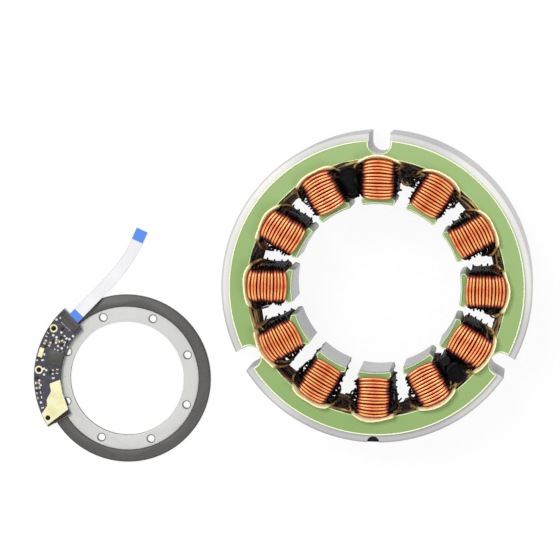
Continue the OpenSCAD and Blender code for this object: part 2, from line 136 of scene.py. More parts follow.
class Value:
    """What a socket gives. Sums on values add their Math nodes."""

    def __init__(self, socket):
        self.socket = socket

    def maths(self, operation, *others):
        tree = self.socket.id_data
        node = tree.nodes.new("ShaderNodeMath")
        node.operation = operation
        for slot, value in zip(node.inputs, (self,) + others):
            plug(tree, slot, value)
        return Value(node.outputs[0])

    def flipped(self, operation, first):
        tree = self.socket.id_data
        node = tree.nodes.new("ShaderNodeMath")
        node.operation = operation
        plug(tree, node.inputs[0], first)
        plug(tree, node.inputs[1], self)
        return Value(node.outputs[0])

    def __add__(self, other):
        return self.maths("ADD", other)

    def __radd__(self, other):
        return self.flipped("ADD", other)

    def __sub__(self, other):
        return self.maths("SUBTRACT", other)

    def __rsub__(self, other):
        return self.flipped("SUBTRACT", other)

    def __mul__(self, other):
        return self.maths("MULTIPLY", other)

    def __rmul__(self, other):
        return self.flipped("MULTIPLY", other)

    def __truediv__(self, other):
        return self.maths("DIVIDE", other)

    def __pow__(self, other):
        return self.maths("POWER", other)

    def sine(self):
        return self.maths("SINE")

    def above(self, low, high):
        """0 at low, 1 at high, smooth between."""
        tree = self.socket.id_data
        node = tree.nodes.new("ShaderNodeMapRange")
        node.interpolation_type = "SMOOTHSTEP"
        plug(tree, node.inputs["Value"], self)
        node.inputs["From Min"].default_value = low
        node.inputs["From Max"].default_value = high
        return Value(node.outputs[0])


def plug(tree, socket, value):
    if isinstance(value, Value):
        tree.links.new(value.socket, socket)
    else:
        socket.default_value = value


def colour(r, g, b):
    """A colour as seen on a screen, 0 to 255, in the linear values that the shader wants."""
    def linear(c):
        c = c / 255
        return c / 12.92 if c <= 0.04045 else ((c + 0.055) / 1.055) ** 2.4
    return (linear(r), linear(g), linear(b), 1)


class Finish:
    """A material: a Principled shader whose sockets take numbers or expressions."""

    def __init__(self, name, base, rough, metal=0, coat=0, coat_rough=0.1, specular=0.5):
        self.material = bpy.data.materials.new(name)
        self.material.use_nodes = True
        self.tree = self.material.node_tree
        self.shader = self.tree.nodes["Principled BSDF"]
        self.set("Base Color", base)
        self.set("Roughness", rough)
        self.set("Metallic", metal)
        self.set("Coat Weight", coat)
        self.set("Coat Roughness", coat_rough)
        self.set("Specular IOR Level", specular)
        self.material.diffuse_color = base if isinstance(base, tuple) else (0.5, 0.5, 0.5, 1)

    def set(self, socket, value):
        plug(self.tree, self.shader.inputs[socket], value)
        return self

    def node(self, kind, settings=None, values=None, out=0):
        """Adds a node of a kind: its settings first, then what its sockets take."""
        made = self.tree.nodes.new(kind)
        for name, value in (settings or {}).items():
            if name == "stops":
                ramp = made.color_ramp
                while len(ramp.elements) < len(value):
                    ramp.elements.new(0.5)
                for element, (at, shade) in zip(ramp.elements, value):
                    element.position = at
                    element.color = shade
            else:
                setattr(made, name, value)
        for name, value in (values or {}).items():
            plug(self.tree, made.inputs[name], value)
        return Value(made.outputs[out])

    def at(self, centre=(0, 0, 0)):
        """Object coordinates in metres, measured from a centre."""
        place = self.node("ShaderNodeTexCoord", out="Object")
        return self.node("ShaderNodeVectorMath", {"operation": "SUBTRACT"}, {0: place, 1: centre})

    def parts(self, vector):
        split = self.tree.nodes.new("ShaderNodeSeparateXYZ")
        plug(self.tree, split.inputs[0], vector)
        return [Value(s) for s in split.outputs]

    def noise(self, place, scale, detail=3, rough=0.5):
        return self.node("ShaderNodeTexNoise", None,
                         {"Vector": place, "Scale": scale, "Detail": detail, "Roughness": rough})

    def attribute(self, name):
        return self.node("ShaderNodeAttribute", {"attribute_name": name}, out="Fac")

    def mix(self, share, first, second):
        return self.node("ShaderNodeMix", {"data_type": "RGBA"}, {0: share, 6: first, 7: second}, out=2)

    def bump(self, height, depth, strength=1.0):
        """Raises the surface by height, 0 to 1, times depth in millimetres."""
        self.set("Normal", self.node("ShaderNodeBump", None, {
            "Height": height, "Distance": depth * MM, "Strength": strength}))
        return self

    def radius(self, centre):
        x, y, z = self.parts(self.at(centre))
        return (x * x + y * y) ** 0.5


RING_CENTRE = (RING_AT.x * MM, RING_AT.y * MM, 0)


def steel_finish():
    """Core steel: fine turning on the band, sheet lines down the walls, painted reflection streaks round the band,
    painted shade on its -y side and a painted shadow line round its outer rim.
    """
    f = Finish("core_steel", colour(212, 211, 213), 0.42, 0.55)
    x, y, z = f.parts(f.at())
    sheet_lines = (z * (2 * math.pi / (0.5 * MM))).sine() * 0.5 + 0.5
    grain = f.noise(f.at(), 900, 2)
    turned = (f.radius((0, 0, 0)) * (2 * math.pi / (0.35 * MM))).sine() * 0.5 + 0.5
    facing = f.parts(f.node("ShaderNodeTexCoord", out="Normal"))[2]
    flat = facing.above(0.5, 0.9)
    lines = turned * flat * 0.35 + sheet_lines * (1 - flat)
    # Painted reflection: the brightness rises and falls slowly with the bearing round the core.
    bearing = (y.maths("ARCTAN2", x) * 3).sine() * 0.5 + (y.maths("ARCTAN2", x) * 8 + 1).sine() * 0.25
    reflection_streak = bearing + f.noise(f.at(), 90, 2) * 0.4
    low = f.mix(flat, colour(188, 188, 191), colour(178, 178, 177))
    high = f.mix(flat, colour(218, 217, 220), colour(205, 204, 201))
    shade = f.mix(reflection_streak.above(-0.5, 0.9), low, high)
    # Painted shade: the flat faces darken towards -y.
    front = (y * -1 / f.radius((0, 0, 0))).above(0.72, 0.99) * flat
    shade = f.mix(front * 0.8, shade, colour(158, 155, 158))
    # Painted shadow: a dark line round the outer rim.
    rim = f.radius((0, 0, 0)).above(0.0492, 0.0499) * flat
    shade = f.mix(rim * 0.45, shade, colour(104, 102, 106))
    f.set("Base Color", f.mix(sheet_lines * (1 - flat) * 0.35, shade, colour(150, 150, 155)))
    f.set("Roughness", 0.36 + grain * 0.18)
    return f.bump(lines * 0.6 + grain * 0.4, 0.012)


def coat_finish():
    """Green insulating coat, paler where it rounds over an edge, partly from the thinner coat there and partly as a
    painted highlight; painted shade darkens the face towards -y and -x.
    """
    f = Finish("green_coat", colour(150, 186, 112), 0.42, 0, 0.15, 0.25, 0.4)
    edge = f.attribute("edge")
    x, y, z = f.parts(f.at())
    # Painted shade: the face darkens towards -y and -x.
    across = (y * 6 + x * 3).above(-0.5, 0.35)
    cloud = f.noise(f.at(), 60, 3)
    flat = f.mix(across, colour(126, 158, 88), colour(144, 172, 108))
    flat = f.mix(cloud.above(0.35, 0.8) * 0.3, flat, colour(150, 172, 116))
    # Painted highlight: the bead is brightest round the outer edge.
    outer = f.radius((0, 0, 0)).above(0.044, 0.046)
    bead = f.mix(outer, colour(200, 222, 166), colour(236, 242, 208))
    f.set("Base Color", f.mix(edge, flat, bead))
    orange_peel = f.noise(f.at(), 1400, 2)
    f.set("Roughness", 0.34 + cloud * 0.12)
    return f.bump(orange_peel, 0.012)


def copper_finish():
    """Enamelled wire with painted light: bright along its top and in two painted highlights beside the middle, painted
    shade in deep red down its sides and near black at the corners and in the slots.
    """
    f = Finish("copper_wire", colour(226, 128, 66), 0.3, 0.2, 0.5, 0.14, 0.5)
    dark = f.attribute("shade")
    tone = f.attribute("tone")
    patch = f.noise(f.at(), 330, 3)
    upward = f.parts(f.node("ShaderNodeTexCoord", out="Normal"))[2].maths("ABSOLUTE")
    lit = f.mix(tone, colour(228, 100, 32), colour(253, 170, 94))
    lit = f.mix(patch.above(0.5, 0.8) * 0.55, lit, colour(206, 80, 20))
    # Painted light: the lit colour where the wire faces along the axis, deep red painted shade where it faces sideways.
    shade = f.mix(upward.above(0.5, 0.96), colour(132, 35, 4), lit)
    # Painted shade from the shade value: deep red, then near black.
    shade = f.mix(dark.above(0, 0.55), shade, colour(124, 26, 16))
    shade = f.mix(dark.above(0.4, 1), shade, colour(16, 8, 8))
    f.set("Base Color", shade)
    f.set("Roughness", 0.26 + patch * 0.16)
    f.set("Metallic", (1 - dark) * 0.2)
    f.set("Coat Weight", (1 - dark) * 0.5)
    return f


def shaded_turns_finish():
    """The turns inside the slots: near black as painted shade, a little lighter in patches."""
    f = Finish("shaded_turns", colour(16, 8, 8), 0.42, specular=0.015)
    patch = f.noise(f.at(), 420, 3)
    f.set("Base Color", f.mix(patch.above(0.5, 0.75), colour(11, 7, 7), colour(30, 12, 9)))
    f.set("Roughness", 0.3 + patch * 0.3)
    return f


def bed_finish():
    """Inner turns seen in the grooves: copper painted dark red as shade in the grooves, blotchy, and near black towards
    the corners as painted shade.
    """
    f = Finish("inner_turns", colour(70, 18, 8), 0.6, 0, 0, 0.1, 0.2)
    dark = f.attribute("shade")
    patch = f.noise(f.at(), 700, 2)
    # Painted shade: red in the grooves, near black towards the coil's sides.
    f.set("Base Color", f.mix(dark, f.mix(patch, colour(190, 66, 12), colour(150, 44, 8)), colour(14, 7, 7)))
    return f.bump(patch, 0.06)


def paper_finish(name, low, high, dark):
    """Insulating paper with random stains; between two heights in millimetres and towards its ends it turns dark brown,
    painted shade where it goes into the slots.
    """
    f = Finish(name, colour(238, 218, 160), 0.6)
    x, y, z = f.parts(f.at())
    stain = f.noise(f.at(), 420, 4, 0.6)
    height = z.above(low * MM, high * MM)
    clean = f.mix(stain.above(0.5, 0.76), colour(255, 240, 188), colour(232, 190, 118))
    ends = f.attribute("shade") + (stain - 0.5) * 0.4
    clean = f.mix(ends.above(0.05, 0.5), clean, colour(206, 164, 92))
    clean = f.mix(ends.above(0.35, 0.95), clean, colour(92, 64, 34))
    f.set("Base Color", f.mix(height, dark, clean))
    fibre = f.noise(f.at(), 2600, 2)
    f.set("Roughness", 0.45 + fibre * 0.25)
    return f.bump(fibre, 0.02)


def liner_finish():
    """Slot liner: nearly black inside the slot as painted shade, its green coat showing through at the mouth."""
    f = Finish("liner_paper", colour(26, 17, 12), 0.5, specular=0.2)
    patch = f.noise(f.at(), 420, 3)
    deep = f.mix(patch, colour(30, 19, 13), colour(14, 9, 8))
    mouth = f.radius((0, 0, 0)).above(0.0298, 0.0306)
    f.set("Base Color", f.mix(mouth, f.mix(patch, colour(150, 170, 128), colour(120, 138, 100)), deep))
    f.set("Roughness", 0.42 + patch * 0.2)
    return f


def dark_finish(name, base, rough, grain=900, specular=0.5):
    """Dark moulded or shrunk plastic with a fine grain."""
    f = Finish(name, base, rough, specular=specular)
    fine = f.noise(f.at(), grain, 3)
    lighter = tuple(min(1, c * 1.9 + 0.006) for c in base[:3]) + (1,)
    f.set("Base Color", f.mix(fine.above(0.45, 0.8), base, lighter))
    f.set("Roughness", rough - 0.08 + fine * 0.2)
    return f.bump(fine, 0.015)


def lead_finish():
    """Leads: most near black, some brown, a few olive, by a random tone per lead."""
    f = Finish("dark_lead", colour(28, 14, 10), 0.4, specular=0.15)
    tone = f.attribute("tone")
    patch = f.noise(f.at(), 500, 3)
    shade = f.mix(tone.above(0.45, 0.8), colour(19, 12, 12), colour(74, 42, 26))
    shade = f.mix(tone.above(0.8, 1), shade, colour(146, 122, 78))
    f.set("Base Color", f.mix(patch.above(0.5, 0.8), shade, colour(14, 9, 9)))
    f.set("Roughness", 0.3 + patch * 0.25)
    return f


def hub_finish():
    """Satin metal with fine turned rings; painted shade darkens its edges and its holes, on every face that does not
    face up.
    """
    f = Finish("hub_metal", colour(200, 200, 197), 0.5, specular=0.35)
    r = f.radius(RING_CENTRE)
    rings = (r * (2 * math.pi / (0.22 * MM))).sine() * 0.5 + 0.5
    coarse = f.node("ShaderNodeTexNoise", {"noise_dimensions": "1D"}, {"W": r * 9000, "Scale": 1.0, "Detail": 2})
    face = f.mix(coarse.above(0.3, 0.7), colour(192, 192, 188), colour(206, 206, 203))
    upward = f.parts(f.node("ShaderNodeTexCoord", out="Normal"))[2]
    # Painted shade on the walls of its edges and holes.
    f.set("Base Color", f.mix(upward.above(0.55, 0.9), colour(70, 69, 66), face))
    f.set("Roughness", 0.46 + coarse * 0.14)
    return f.bump(rings * 0.5 + coarse * 0.5, 0.003)


def band_finish():
    """Dark grey bonded magnet with a satin ground face."""
    f = Finish("pole_band", colour(88, 87, 84), 0.46, 0, 0, 0.1, 0.4)
    speck = f.noise(f.at(), 2400, 3)
    cloud = f.noise(f.at(), 90, 3)
    shade = f.mix(speck.above(0.42, 0.72), colour(70, 69, 67), colour(86, 85, 83))
    shade = f.mix(cloud.above(0.35, 0.75) * 0.4, shade, colour(79, 78, 75))
    # Painted shade: dark lines along the band's outer and inner edges.
    edge = f.radius(RING_CENTRE).above(0.0274, 0.0279)
    edge = edge.maths("MAXIMUM", 1 - f.radius(RING_CENTRE).above(0.0241, 0.0245))
    f.set("Base Color", f.mix(edge * 0.75, shade, colour(38, 37, 35)))
    f.set("Roughness", 0.4 + speck * 0.16)
    return f.bump(speck, 0.01)


def board_finish():
    """Solder mask over copper: paler lines where the tracks run, and pale dots at the vias."""
    f = Finish("solder_mask", colour(52, 47, 74), 0.3, 0, 0.4, 0.15)
    place = f.at(RING_CENTRE)
    x, y, z = f.parts(place)
    cells = f.node("ShaderNodeTexVoronoi", {"feature": "DISTANCE_TO_EDGE"}, {"Vector": place, "Scale": 520}, out="Distance")
    tracks = 1 - cells.above(0.04, 0.09)
    planes = f.noise(place, 130, 2).above(0.5, 0.56)
    vias = f.node("ShaderNodeTexVoronoi", None, {"Vector": place, "Scale": 900}, out="Distance")
    dots = 1 - vias.above(0.12, 0.18)
    mask = f.mix(planes, colour(30, 27, 41), colour(41, 37, 56))
    mask = f.mix(tracks * 0.5, mask, colour(55, 51, 70))
    f.set("Base Color", f.mix(dots * 0.5, mask, colour(88, 84, 96)))
    return f.bump(tracks * 0.5 + planes * 0.5, 0.03)


def cream_finish():
    """Cream moulded plastic, a little warmer in patches."""
    f = Finish("cream_plastic", colour(238, 233, 190), 0.45)
    patch = f.noise(f.at(), 300, 3)
    grain = f.noise(f.at(), 2200, 2)
    f.set("Base Color", f.mix(patch.above(0.35, 0.75), colour(234, 229, 186), colour(220, 212, 158)))
    f.set("Roughness", 0.38 + grain * 0.16)
    return f.bump(grain, 0.02)


def film_finish(name, base, other):
    """Cable film with its conductors showing as faint lines along it."""
    f = Finish(name, base, 0.32, 0, 0.3, 0.15)
    across = f.attribute("across")
    lines = (across * (2 * math.pi * 7)).sine().above(-0.8, 0.8)
    cloud = f.noise(f.at(), 240, 2)
    # Painted edge shading: the long edges take the other colour, painted shade on the white film and a painted
    # highlight on the blue.
    edge = across.maths("ABSOLUTE").above(0.4, 0.49)
    f.set("Base Color", f.mix(lines * 0.15 + cloud * 0.2 + edge * 0.6, base, other))
    f.set("Roughness", 0.3 + cloud * 0.1)
    return f


def tinned_finish():
    """Tinned pads and solder."""
    f = Finish("tinned_pad", colour(222, 220, 208), 0.32, 0.35)
    grain = f.noise(f.at(), 2600, 2)
    f.set("Base Color", f.mix(grain.above(0.4, 0.7), colour(232, 230, 220), colour(186, 182, 170)))
    f.set("Roughness", 0.25 + grain * 0.2)
    return f.bump(grain, 0.03)


def tan_finish():
    """Ceramic capacitor bodies."""
    f = Finish("tan_ceramic", colour(150, 128, 96), 0.4)
    grain = f.noise(f.at(), 1500, 3)
    f.set("Base Color", f.mix(grain, colour(140, 118, 86), colour(170, 148, 112)))
    f.set("Roughness", 0.32 + grain * 0.16)
    return f


def gold_finish():
    """Gold flashed contacts."""
    f = Finish("contact_gold", colour(150, 118, 62), 0.34, 0.6)
    grain = f.noise(f.at(), 1800, 2)
    f.set("Base Color", f.mix(grain, colour(120, 92, 44), colour(176, 142, 82)))
    f.set("Roughness", 0.26 + grain * 0.18)
    return f


STEEL = steel_finish().material
GREEN = coat_finish().material
COPPER = copper_finish().material
BED = bed_finish().material
SHADED_TURNS = shaded_turns_finish().material
# Each paper's last colour is painted shade where it goes into the slots.
CUFF_PAPER = paper_finish("cuff_paper", FRONT_Z - 5, FRONT_Z - 0.8, colour(60, 40, 20)).material
LINK_PAPER = paper_finish("link_sleeving_paper", FRONT_Z - 2.5, FRONT_Z + 1.6, colour(84, 60, 32)).material
LINER_PAPER = liner_finish().material
SLEEVE = dark_finish("shrunk_sleeve", colour(10, 9, 11), 0.55, 600, 0.1).material
WRAP = dark_finish("shrunk_wrap", colour(7, 6, 8), 0.7, 1300, 0.08).material
LEAD = lead_finish().material
HUB = hub_finish().material
BAND = band_finish().material
MASK = board_finish().material
CREAM = cream_finish().material
TINNED = tinned_finish().material
TAN = tan_finish().material
GOLD = gold_finish().material
CHIP = dark_finish("chip_resin", colour(50, 50, 46), 0.5, 1500).material
CHIP_BLACK = dark_finish("small_part_resin", colour(17, 16, 18), 0.45, 1500, 0.3).material
HOUSING = dark_finish("dark_moulding", colour(66, 56, 60), 0.4, 1200).material
WHITE_FILM = film_finish("white_film", colour(228, 228, 230), colour(196, 197, 202)).material
BLUE_FILM = film_finish("blue_film", colour(62, 122, 218), colour(84, 142, 228)).material

# Its last colour is painted shade where it goes into the slots.
REAR_PAPER = paper_finish("rear_paper", -COAT_T + 6, -COAT_T - 0.4, colour(120, 84, 40)).material

# The body that the pieces are attached to
BODY = "stator_set"


# Modelling helpers

def deselect():
    if bpy.context.object and bpy.context.object.mode == "EDIT":
        bpy.ops.object.mode_set(mode="OBJECT")
    bpy.ops.object.select_all(action="DESELECT")


def pick(piece):
    deselect()
    piece.select_set(True)
    bpy.context.view_layer.objects.active = piece
    return piece


def finish_piece(piece, name, materials, body=BODY, replaces=(), smooth=35):
    """Names a piece, applies its place, shades it, and gives it its finish and its body."""
    pick(piece)
    bpy.ops.object.transform_apply(location=True, rotation=True, scale=True)
    piece.name = name
    piece.data.name = name
    if smooth:
        bpy.ops.object.shade_smooth_by_angle(angle=math.radians(smooth))
    if materials:
        piece.data.materials.clear()
        for material in materials:
            piece.data.materials.append(material)
    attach(piece, body)
    if replaces:
        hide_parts(*replaces)
    return piece


def joined(pieces):
    deselect()
    for piece in pieces:
        piece.select_set(True)
    bpy.context.view_layer.objects.active = pieces[0]
    if len(pieces) > 1:
        bpy.ops.object.join()
    return bpy.context.object


def apply_modifiers(piece):
    pick(piece)
    for modifier in list(piece.modifiers):
        bpy.ops.object.modifier_apply(modifier=modifier.name)


def bevelled(piece, width, segments=2, angle=30):
    """Rounds the sharp edges of a piece by a width in millimetres."""
    modifier = piece.modifiers.new("Edge", "BEVEL")
    modifier.width = width * MM
    modifier.segments = segments
    modifier.limit_method = "ANGLE"
    modifier.angle_limit = math.radians(angle)
    apply_modifiers(piece)
    return piece


def copy_of_node(node):
    """A merged copy of a CAD node's mesh, with its flat faces whole again."""
    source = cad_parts[node]
    piece = bpy.data.objects.new(node + "_copy", source.data.copy())
    bpy.context.collection.objects.link(piece)
    pick(piece)
    bpy.ops.object.mode_set(mode="EDIT")
    bpy.ops.mesh.select_all(action="SELECT")
    bpy.ops.mesh.remove_doubles(threshold=0.002 * MM)
    bpy.ops.mesh.dissolve_limited(angle_limit=math.radians(1), delimit={"NORMAL"})
    bpy.ops.object.mode_set(mode="OBJECT")
    return piece


def softened(node, name, width, materials, body=BODY, segments=2, smooth=35):
    """A node's own shape with its edges rounded."""
    piece = bevelled(copy_of_node(node), width, segments)
    return finish_piece(piece, name, materials, body, [node], smooth)


def wire(points, radius, sides=3, cyclic=False):
    """A round wire along points in millimetres, as a mesh."""
    curve = bpy.data.curves.new("wire", "CURVE")
    curve.dimensions = "3D"
    curve.bevel_depth = radius * MM
    curve.bevel_resolution = sides
    curve.use_fill_caps = not cyclic
    curve.resolution_u = 2
    spline = curve.splines.new("NURBS")
    spline.points.add(len(points) - 1)
    for point, place in zip(spline.points, points):
        point.co = (place[0] * MM, place[1] * MM, place[2] * MM, 1)
    spline.order_u = 3
    spline.use_endpoint_u = not cyclic
    spline.use_cyclic_u = cyclic
    piece = bpy.data.objects.new("wire", curve)
    bpy.context.collection.objects.link(piece)
    pick(piece)
    bpy.ops.object.convert(target="MESH")
    return bpy.context.object


def set_attribute(piece, name, rule):
    """Stores rule(place in millimetres) on each vertex."""
    layer = piece.data.attributes.new(name, "FLOAT", "POINT")
    layer.data.foreach_set("value", [rule(v.co / MM) for v in piece.data.vertices])


def smooth_step(value, low, high):
    t = min(1, max(0, (value - low) / (high - low)))
    return t * t * (3 - 2 * t)


def tooth_turn(index):
    """Angle of a tooth, clockwise from the top."""
    return math.pi / 2 - index * PITCH_ANGLE


def in_tooth(index, out, across, up):
    """A place given along and across a tooth, in the stator's frame."""
    a = tooth_turn(index)
    return Vector((out * math.cos(a) - across * math.sin(a), out * math.sin(a) + across * math.cos(a), up))


# Stator: core and coat

def dress_core():
    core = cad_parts["lamination_core"]
    core.data.materials.clear()
    core.data.materials.append(STEEL)


INDEX_R = 2
INDEX_ANGLE = math.radians(270)


def make_notch_shadow():
    """A black fill, flush with the rim, in the small notch of the front rim: a painted shadow standing for the shade
    inside the notch.
    """
    bpy.ops.mesh.primitive_cylinder_add(vertices=48, radius=INDEX_R * MM, depth=(CORE_L - 1.6) * MM)
    piece = bpy.context.object
    piece.location = (CORE_R * MM * math.cos(INDEX_ANGLE), CORE_R * MM * math.sin(INDEX_ANGLE), MID_Z * MM)
    bpy.ops.object.transform_apply(location=True, rotation=True, scale=True)
    bpy.ops.object.mode_set(mode="EDIT")
    bpy.ops.mesh.select_all(action="SELECT")
    bpy.ops.mesh.bisect(plane_co=(0, -(CORE_R - 0.15) * MM, 0), plane_no=(0, 1, 0), use_fill=True, clear_inner=True)
    bpy.ops.object.mode_set(mode="OBJECT")
    finish_piece(bevelled(piece, 0.15), "notch_shadow_fill", [SLEEVE])


BEAD_R = 0.24
BEAD_RISE = 0.08


def outline_loops(mesh, height):
    """The closed lines of vertices round the flat faces at a height in millimetres."""
    sides = {}
    for face in mesh.polygons:
        if abs(face.center.z / MM - height) < 0.01:
            for key in face.edge_keys:
                sides[key] = sides.get(key, 0) + 1
    beside = {}
    for (a, b), count in sides.items():
        if count == 1:
            beside.setdefault(a, []).append(b)
            beside.setdefault(b, []).append(a)
    loops = []
    while beside:
        at = next(iter(beside))
        loop = []
        while at in beside:
            loop.append(at)
            ways = beside.pop(at)
            at = next((w for w in ways if w in beside), None)
        loops.append([mesh.vertices[i].co.copy() for i in loop])
    return loops


def edge_bead(node, height):
    """The bead that the coat forms along every edge of its face."""
    source = copy_of_node(node)
    curve = bpy.data.curves.new("bead", "CURVE")
    curve.dimensions = "3D"
    curve.bevel_depth = BEAD_R * MM
    curve.bevel_resolution = 2
    sink = Vector((0, 0, math.copysign(BEAD_RISE - BEAD_R, height) * MM))
    for loop in outline_loops(source.data, height):
        spline = curve.splines.new("POLY")
        spline.points.add(len(loop) - 1)
        for point, place in zip(spline.points, loop):
            point.co = (place + sink).to_4d()
        spline.use_cyclic_u = True
    bpy.data.objects.remove(source)
    bead = bpy.data.objects.new("bead", curve)
    bpy.context.collection.objects.link(bead)
    pick(bead)
    bpy.ops.object.convert(target="MESH")
    return bpy.context.object


def make_coat(node, name, top):
    """The coat's own shape, with a bead round its face, coloured pale partly as a painted highlight."""
    piece, bead = copy_of_node(node), edge_bead(node, top)
    set_attribute(piece, "edge", lambda p: 0.0)
    # The bead's edge value picks the pale colour, partly a painted highlight.
    set_attribute(bead, "edge", lambda p: 1.0)
    return finish_piece(joined([piece, bead]), name, [GREEN], replaces=[node], smooth=50)


def dress_slots():
    for node, material in (("slot_coat", GREEN), ("slot_liners", LINER_PAPER)):
        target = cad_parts[node]
        target.data.materials.clear()
        target.data.materials.append(material)


# Stator: coils

WIRE_R = 0.46
TURNS = 12
STEPS = 32
SLOT_FROM = 29.8
CROWN_FROM = 28.2
CROWN_TO = 42.3
OUTER_BOW = 2.1
INNER_BOW = 1.5
SHOULDER_Z = 12.6
CROWN_HALF_W = 5.4


def turn_section(share, half_w, half_h):
    """A place round one turn, 0 to 1 clockwise from the middle of the front crown: (across, up)."""
    a = math.pi / 2 - 2 * math.pi * share
    c, s = math.cos(a), math.sin(a)
    across = math.copysign(abs(c) ** 0.36, c) * half_w
    up = math.copysign(abs(s) ** 0.16, s) * half_h
    return across, up


def winding_path(rng):
    """One coil's outer layer, in its tooth's frame: it fans out and bows over the core's ends."""
    points = []
    waves = [(rng.uniform(0, 6.3), rng.uniform(0.7, 1.3)) for _ in range(4)]
    outer_bow = OUTER_BOW * rng.uniform(0.85, 1.1)
    inner_bow = INNER_BOW * rng.uniform(0.5, 1.1)
    bulges = [rng.uniform(-1, 1) for _ in range(4 * TURNS + 4)]
    total = TURNS * STEPS
    for i in range(total + 1):
        turn = i / STEPS + 0.25
        t = i / total
        across, up = turn_section(turn % 1, COIL_HALF_W - WIRE_R - 0.34, COIL_HALF_H - WIRE_R - 0.02)
        crown = smooth_step(abs(up), SHOULDER_Z, COIL_HALF_H - WIRE_R - 1)
        in_slot = COIL_TO - WIRE_R + (SLOT_FROM - COIL_TO + 2 * WIRE_R) * t
        in_crown = CROWN_TO - WIRE_R + (CROWN_FROM - CROWN_TO + 2 * WIRE_R) * t
        corner = (across / COIL_HALF_W) ** 2
        bend = corner * (inner_bow * t ** 3 - outer_bow * (1 - t) ** 2)
        out = in_slot + (in_crown + bend - in_slot) * crown
        sway = sum(math.sin(turn * f * 2.1 + p) for p, f in waves) * 0.03
        quarter = int(turn * 4)
        bulge = bulges[quarter] * math.sin(math.pi * (turn * 4 % 1)) * 0.24
        side = 1 - smooth_step(abs(across), 2, 5)
        end = abs(2 * t - 1) ** 4
        out += sway * crown + across * 0.02
        across *= 1 + (bulge * (1 - side)) / COIL_HALF_W
        up -= math.copysign((0.8 * end + abs(sway) * 0.8) * crown, up)
        points.append((out, across, up))
    return points


def rounded_sleeve(out_from, out_to, outer_w, outer_h, inner_w, inner_h):
    """A sleeve round a tooth, in the tooth's frame, from a box that is bevelled and holed."""
    bpy.ops.mesh.primitive_cube_add(size=1)
    piece = bpy.context.object
    piece.dimensions = ((out_to - out_from) * MM, outer_w * 2 * MM, outer_h * 2 * MM)
    piece.location = ((out_from + out_to) / 2 * MM, 0, MID_Z * MM)
    bpy.ops.object.transform_apply(location=True, rotation=False, scale=True)
    bpy.ops.object.mode_set(mode="EDIT")
    bpy.ops.mesh.select_all(action="DESELECT")
    bpy.ops.object.mode_set(mode="OBJECT")
    for edge in piece.data.edges:
        a, b = (piece.data.vertices[i].co for i in edge.vertices)
        edge.select = abs(a.x - b.x) > 0.5 * MM
    bpy.ops.object.mode_set(mode="EDIT")
    bpy.ops.mesh.select_mode(type="EDGE")
    bpy.ops.mesh.bevel(offset=2 * MM, segments=4)
    bpy.ops.mesh.select_mode(type="FACE")
    bpy.ops.mesh.select_all(action="DESELECT")
    bpy.ops.object.mode_set(mode="OBJECT")
    for face in piece.data.polygons:
        face.select = abs(face.normal.x) > 0.9
    bpy.ops.object.mode_set(mode="EDIT")
    bpy.ops.mesh.inset(thickness=(outer_w - inner_w) * MM)
    bpy.ops.mesh.bridge_edge_loops()
    bpy.ops.mesh.select_all(action="SELECT")
    bpy.ops.mesh.remove_doubles(threshold=0.01 * MM)
    bpy.ops.mesh.normals_make_consistent(inside=False)
    bpy.ops.object.mode_set(mode="OBJECT")
    return piece


def crown_bed(front):
    """The inner turns over one end of a tooth, under the outer layer's crown."""
    low = COAT_T + CORE_L / 2 + 0.1
    high = COIL_HALF_H - WIRE_R * 2.3
    bpy.ops.mesh.primitive_cube_add(size=1)
    piece = bpy.context.object
    piece.dimensions = ((CROWN_TO - CROWN_FROM - 1.4) * MM, (CROWN_HALF_W - 1.6) * 2 * MM, (high - low) * MM)
    middle = (low + high) / 2 * (1 if front else -1)
    piece.location = ((CROWN_TO + CROWN_FROM - 0.4) / 2 * MM, 0, (MID_Z + middle) * MM)
    bpy.ops.object.transform_apply(location=True, rotation=False, scale=True)
    return bevelled(piece, 0.9, 3)


def stray_loop(rng, side, front, share):
    """A turn that slipped off the coil's corner and curls beside it, like the teeth of a comb."""
    out = SLOT_FROM + 0.6 + (COIL_TO - 1.6 - SLOT_FROM) * share + rng.uniform(-0.2, 0.2)
    top = MID_Z + (COIL_HALF_H - 1.6) * (1 if front else -1)
    drop = rng.uniform(2.5, 5) * (-1 if front else 1)
    reach = rng.uniform(0.5, 1.1) + 0.5 * share
    lean = rng.uniform(-0.35, 0.35)
    y = side * (COIL_HALF_W - 0.9)
    return [
        (out, y - side * 0.9, top + drop * -0.06),
        (out + lean * 0.2, y + side * reach * 0.6, top + drop * 0.15),
        (out + lean * 0.6, y + side * reach, top + drop * 0.5),
        (out + lean, y + side * reach * 0.4, top + drop * 0.85),
        (out + lean, y - side * 0.5, top + drop),
    ]


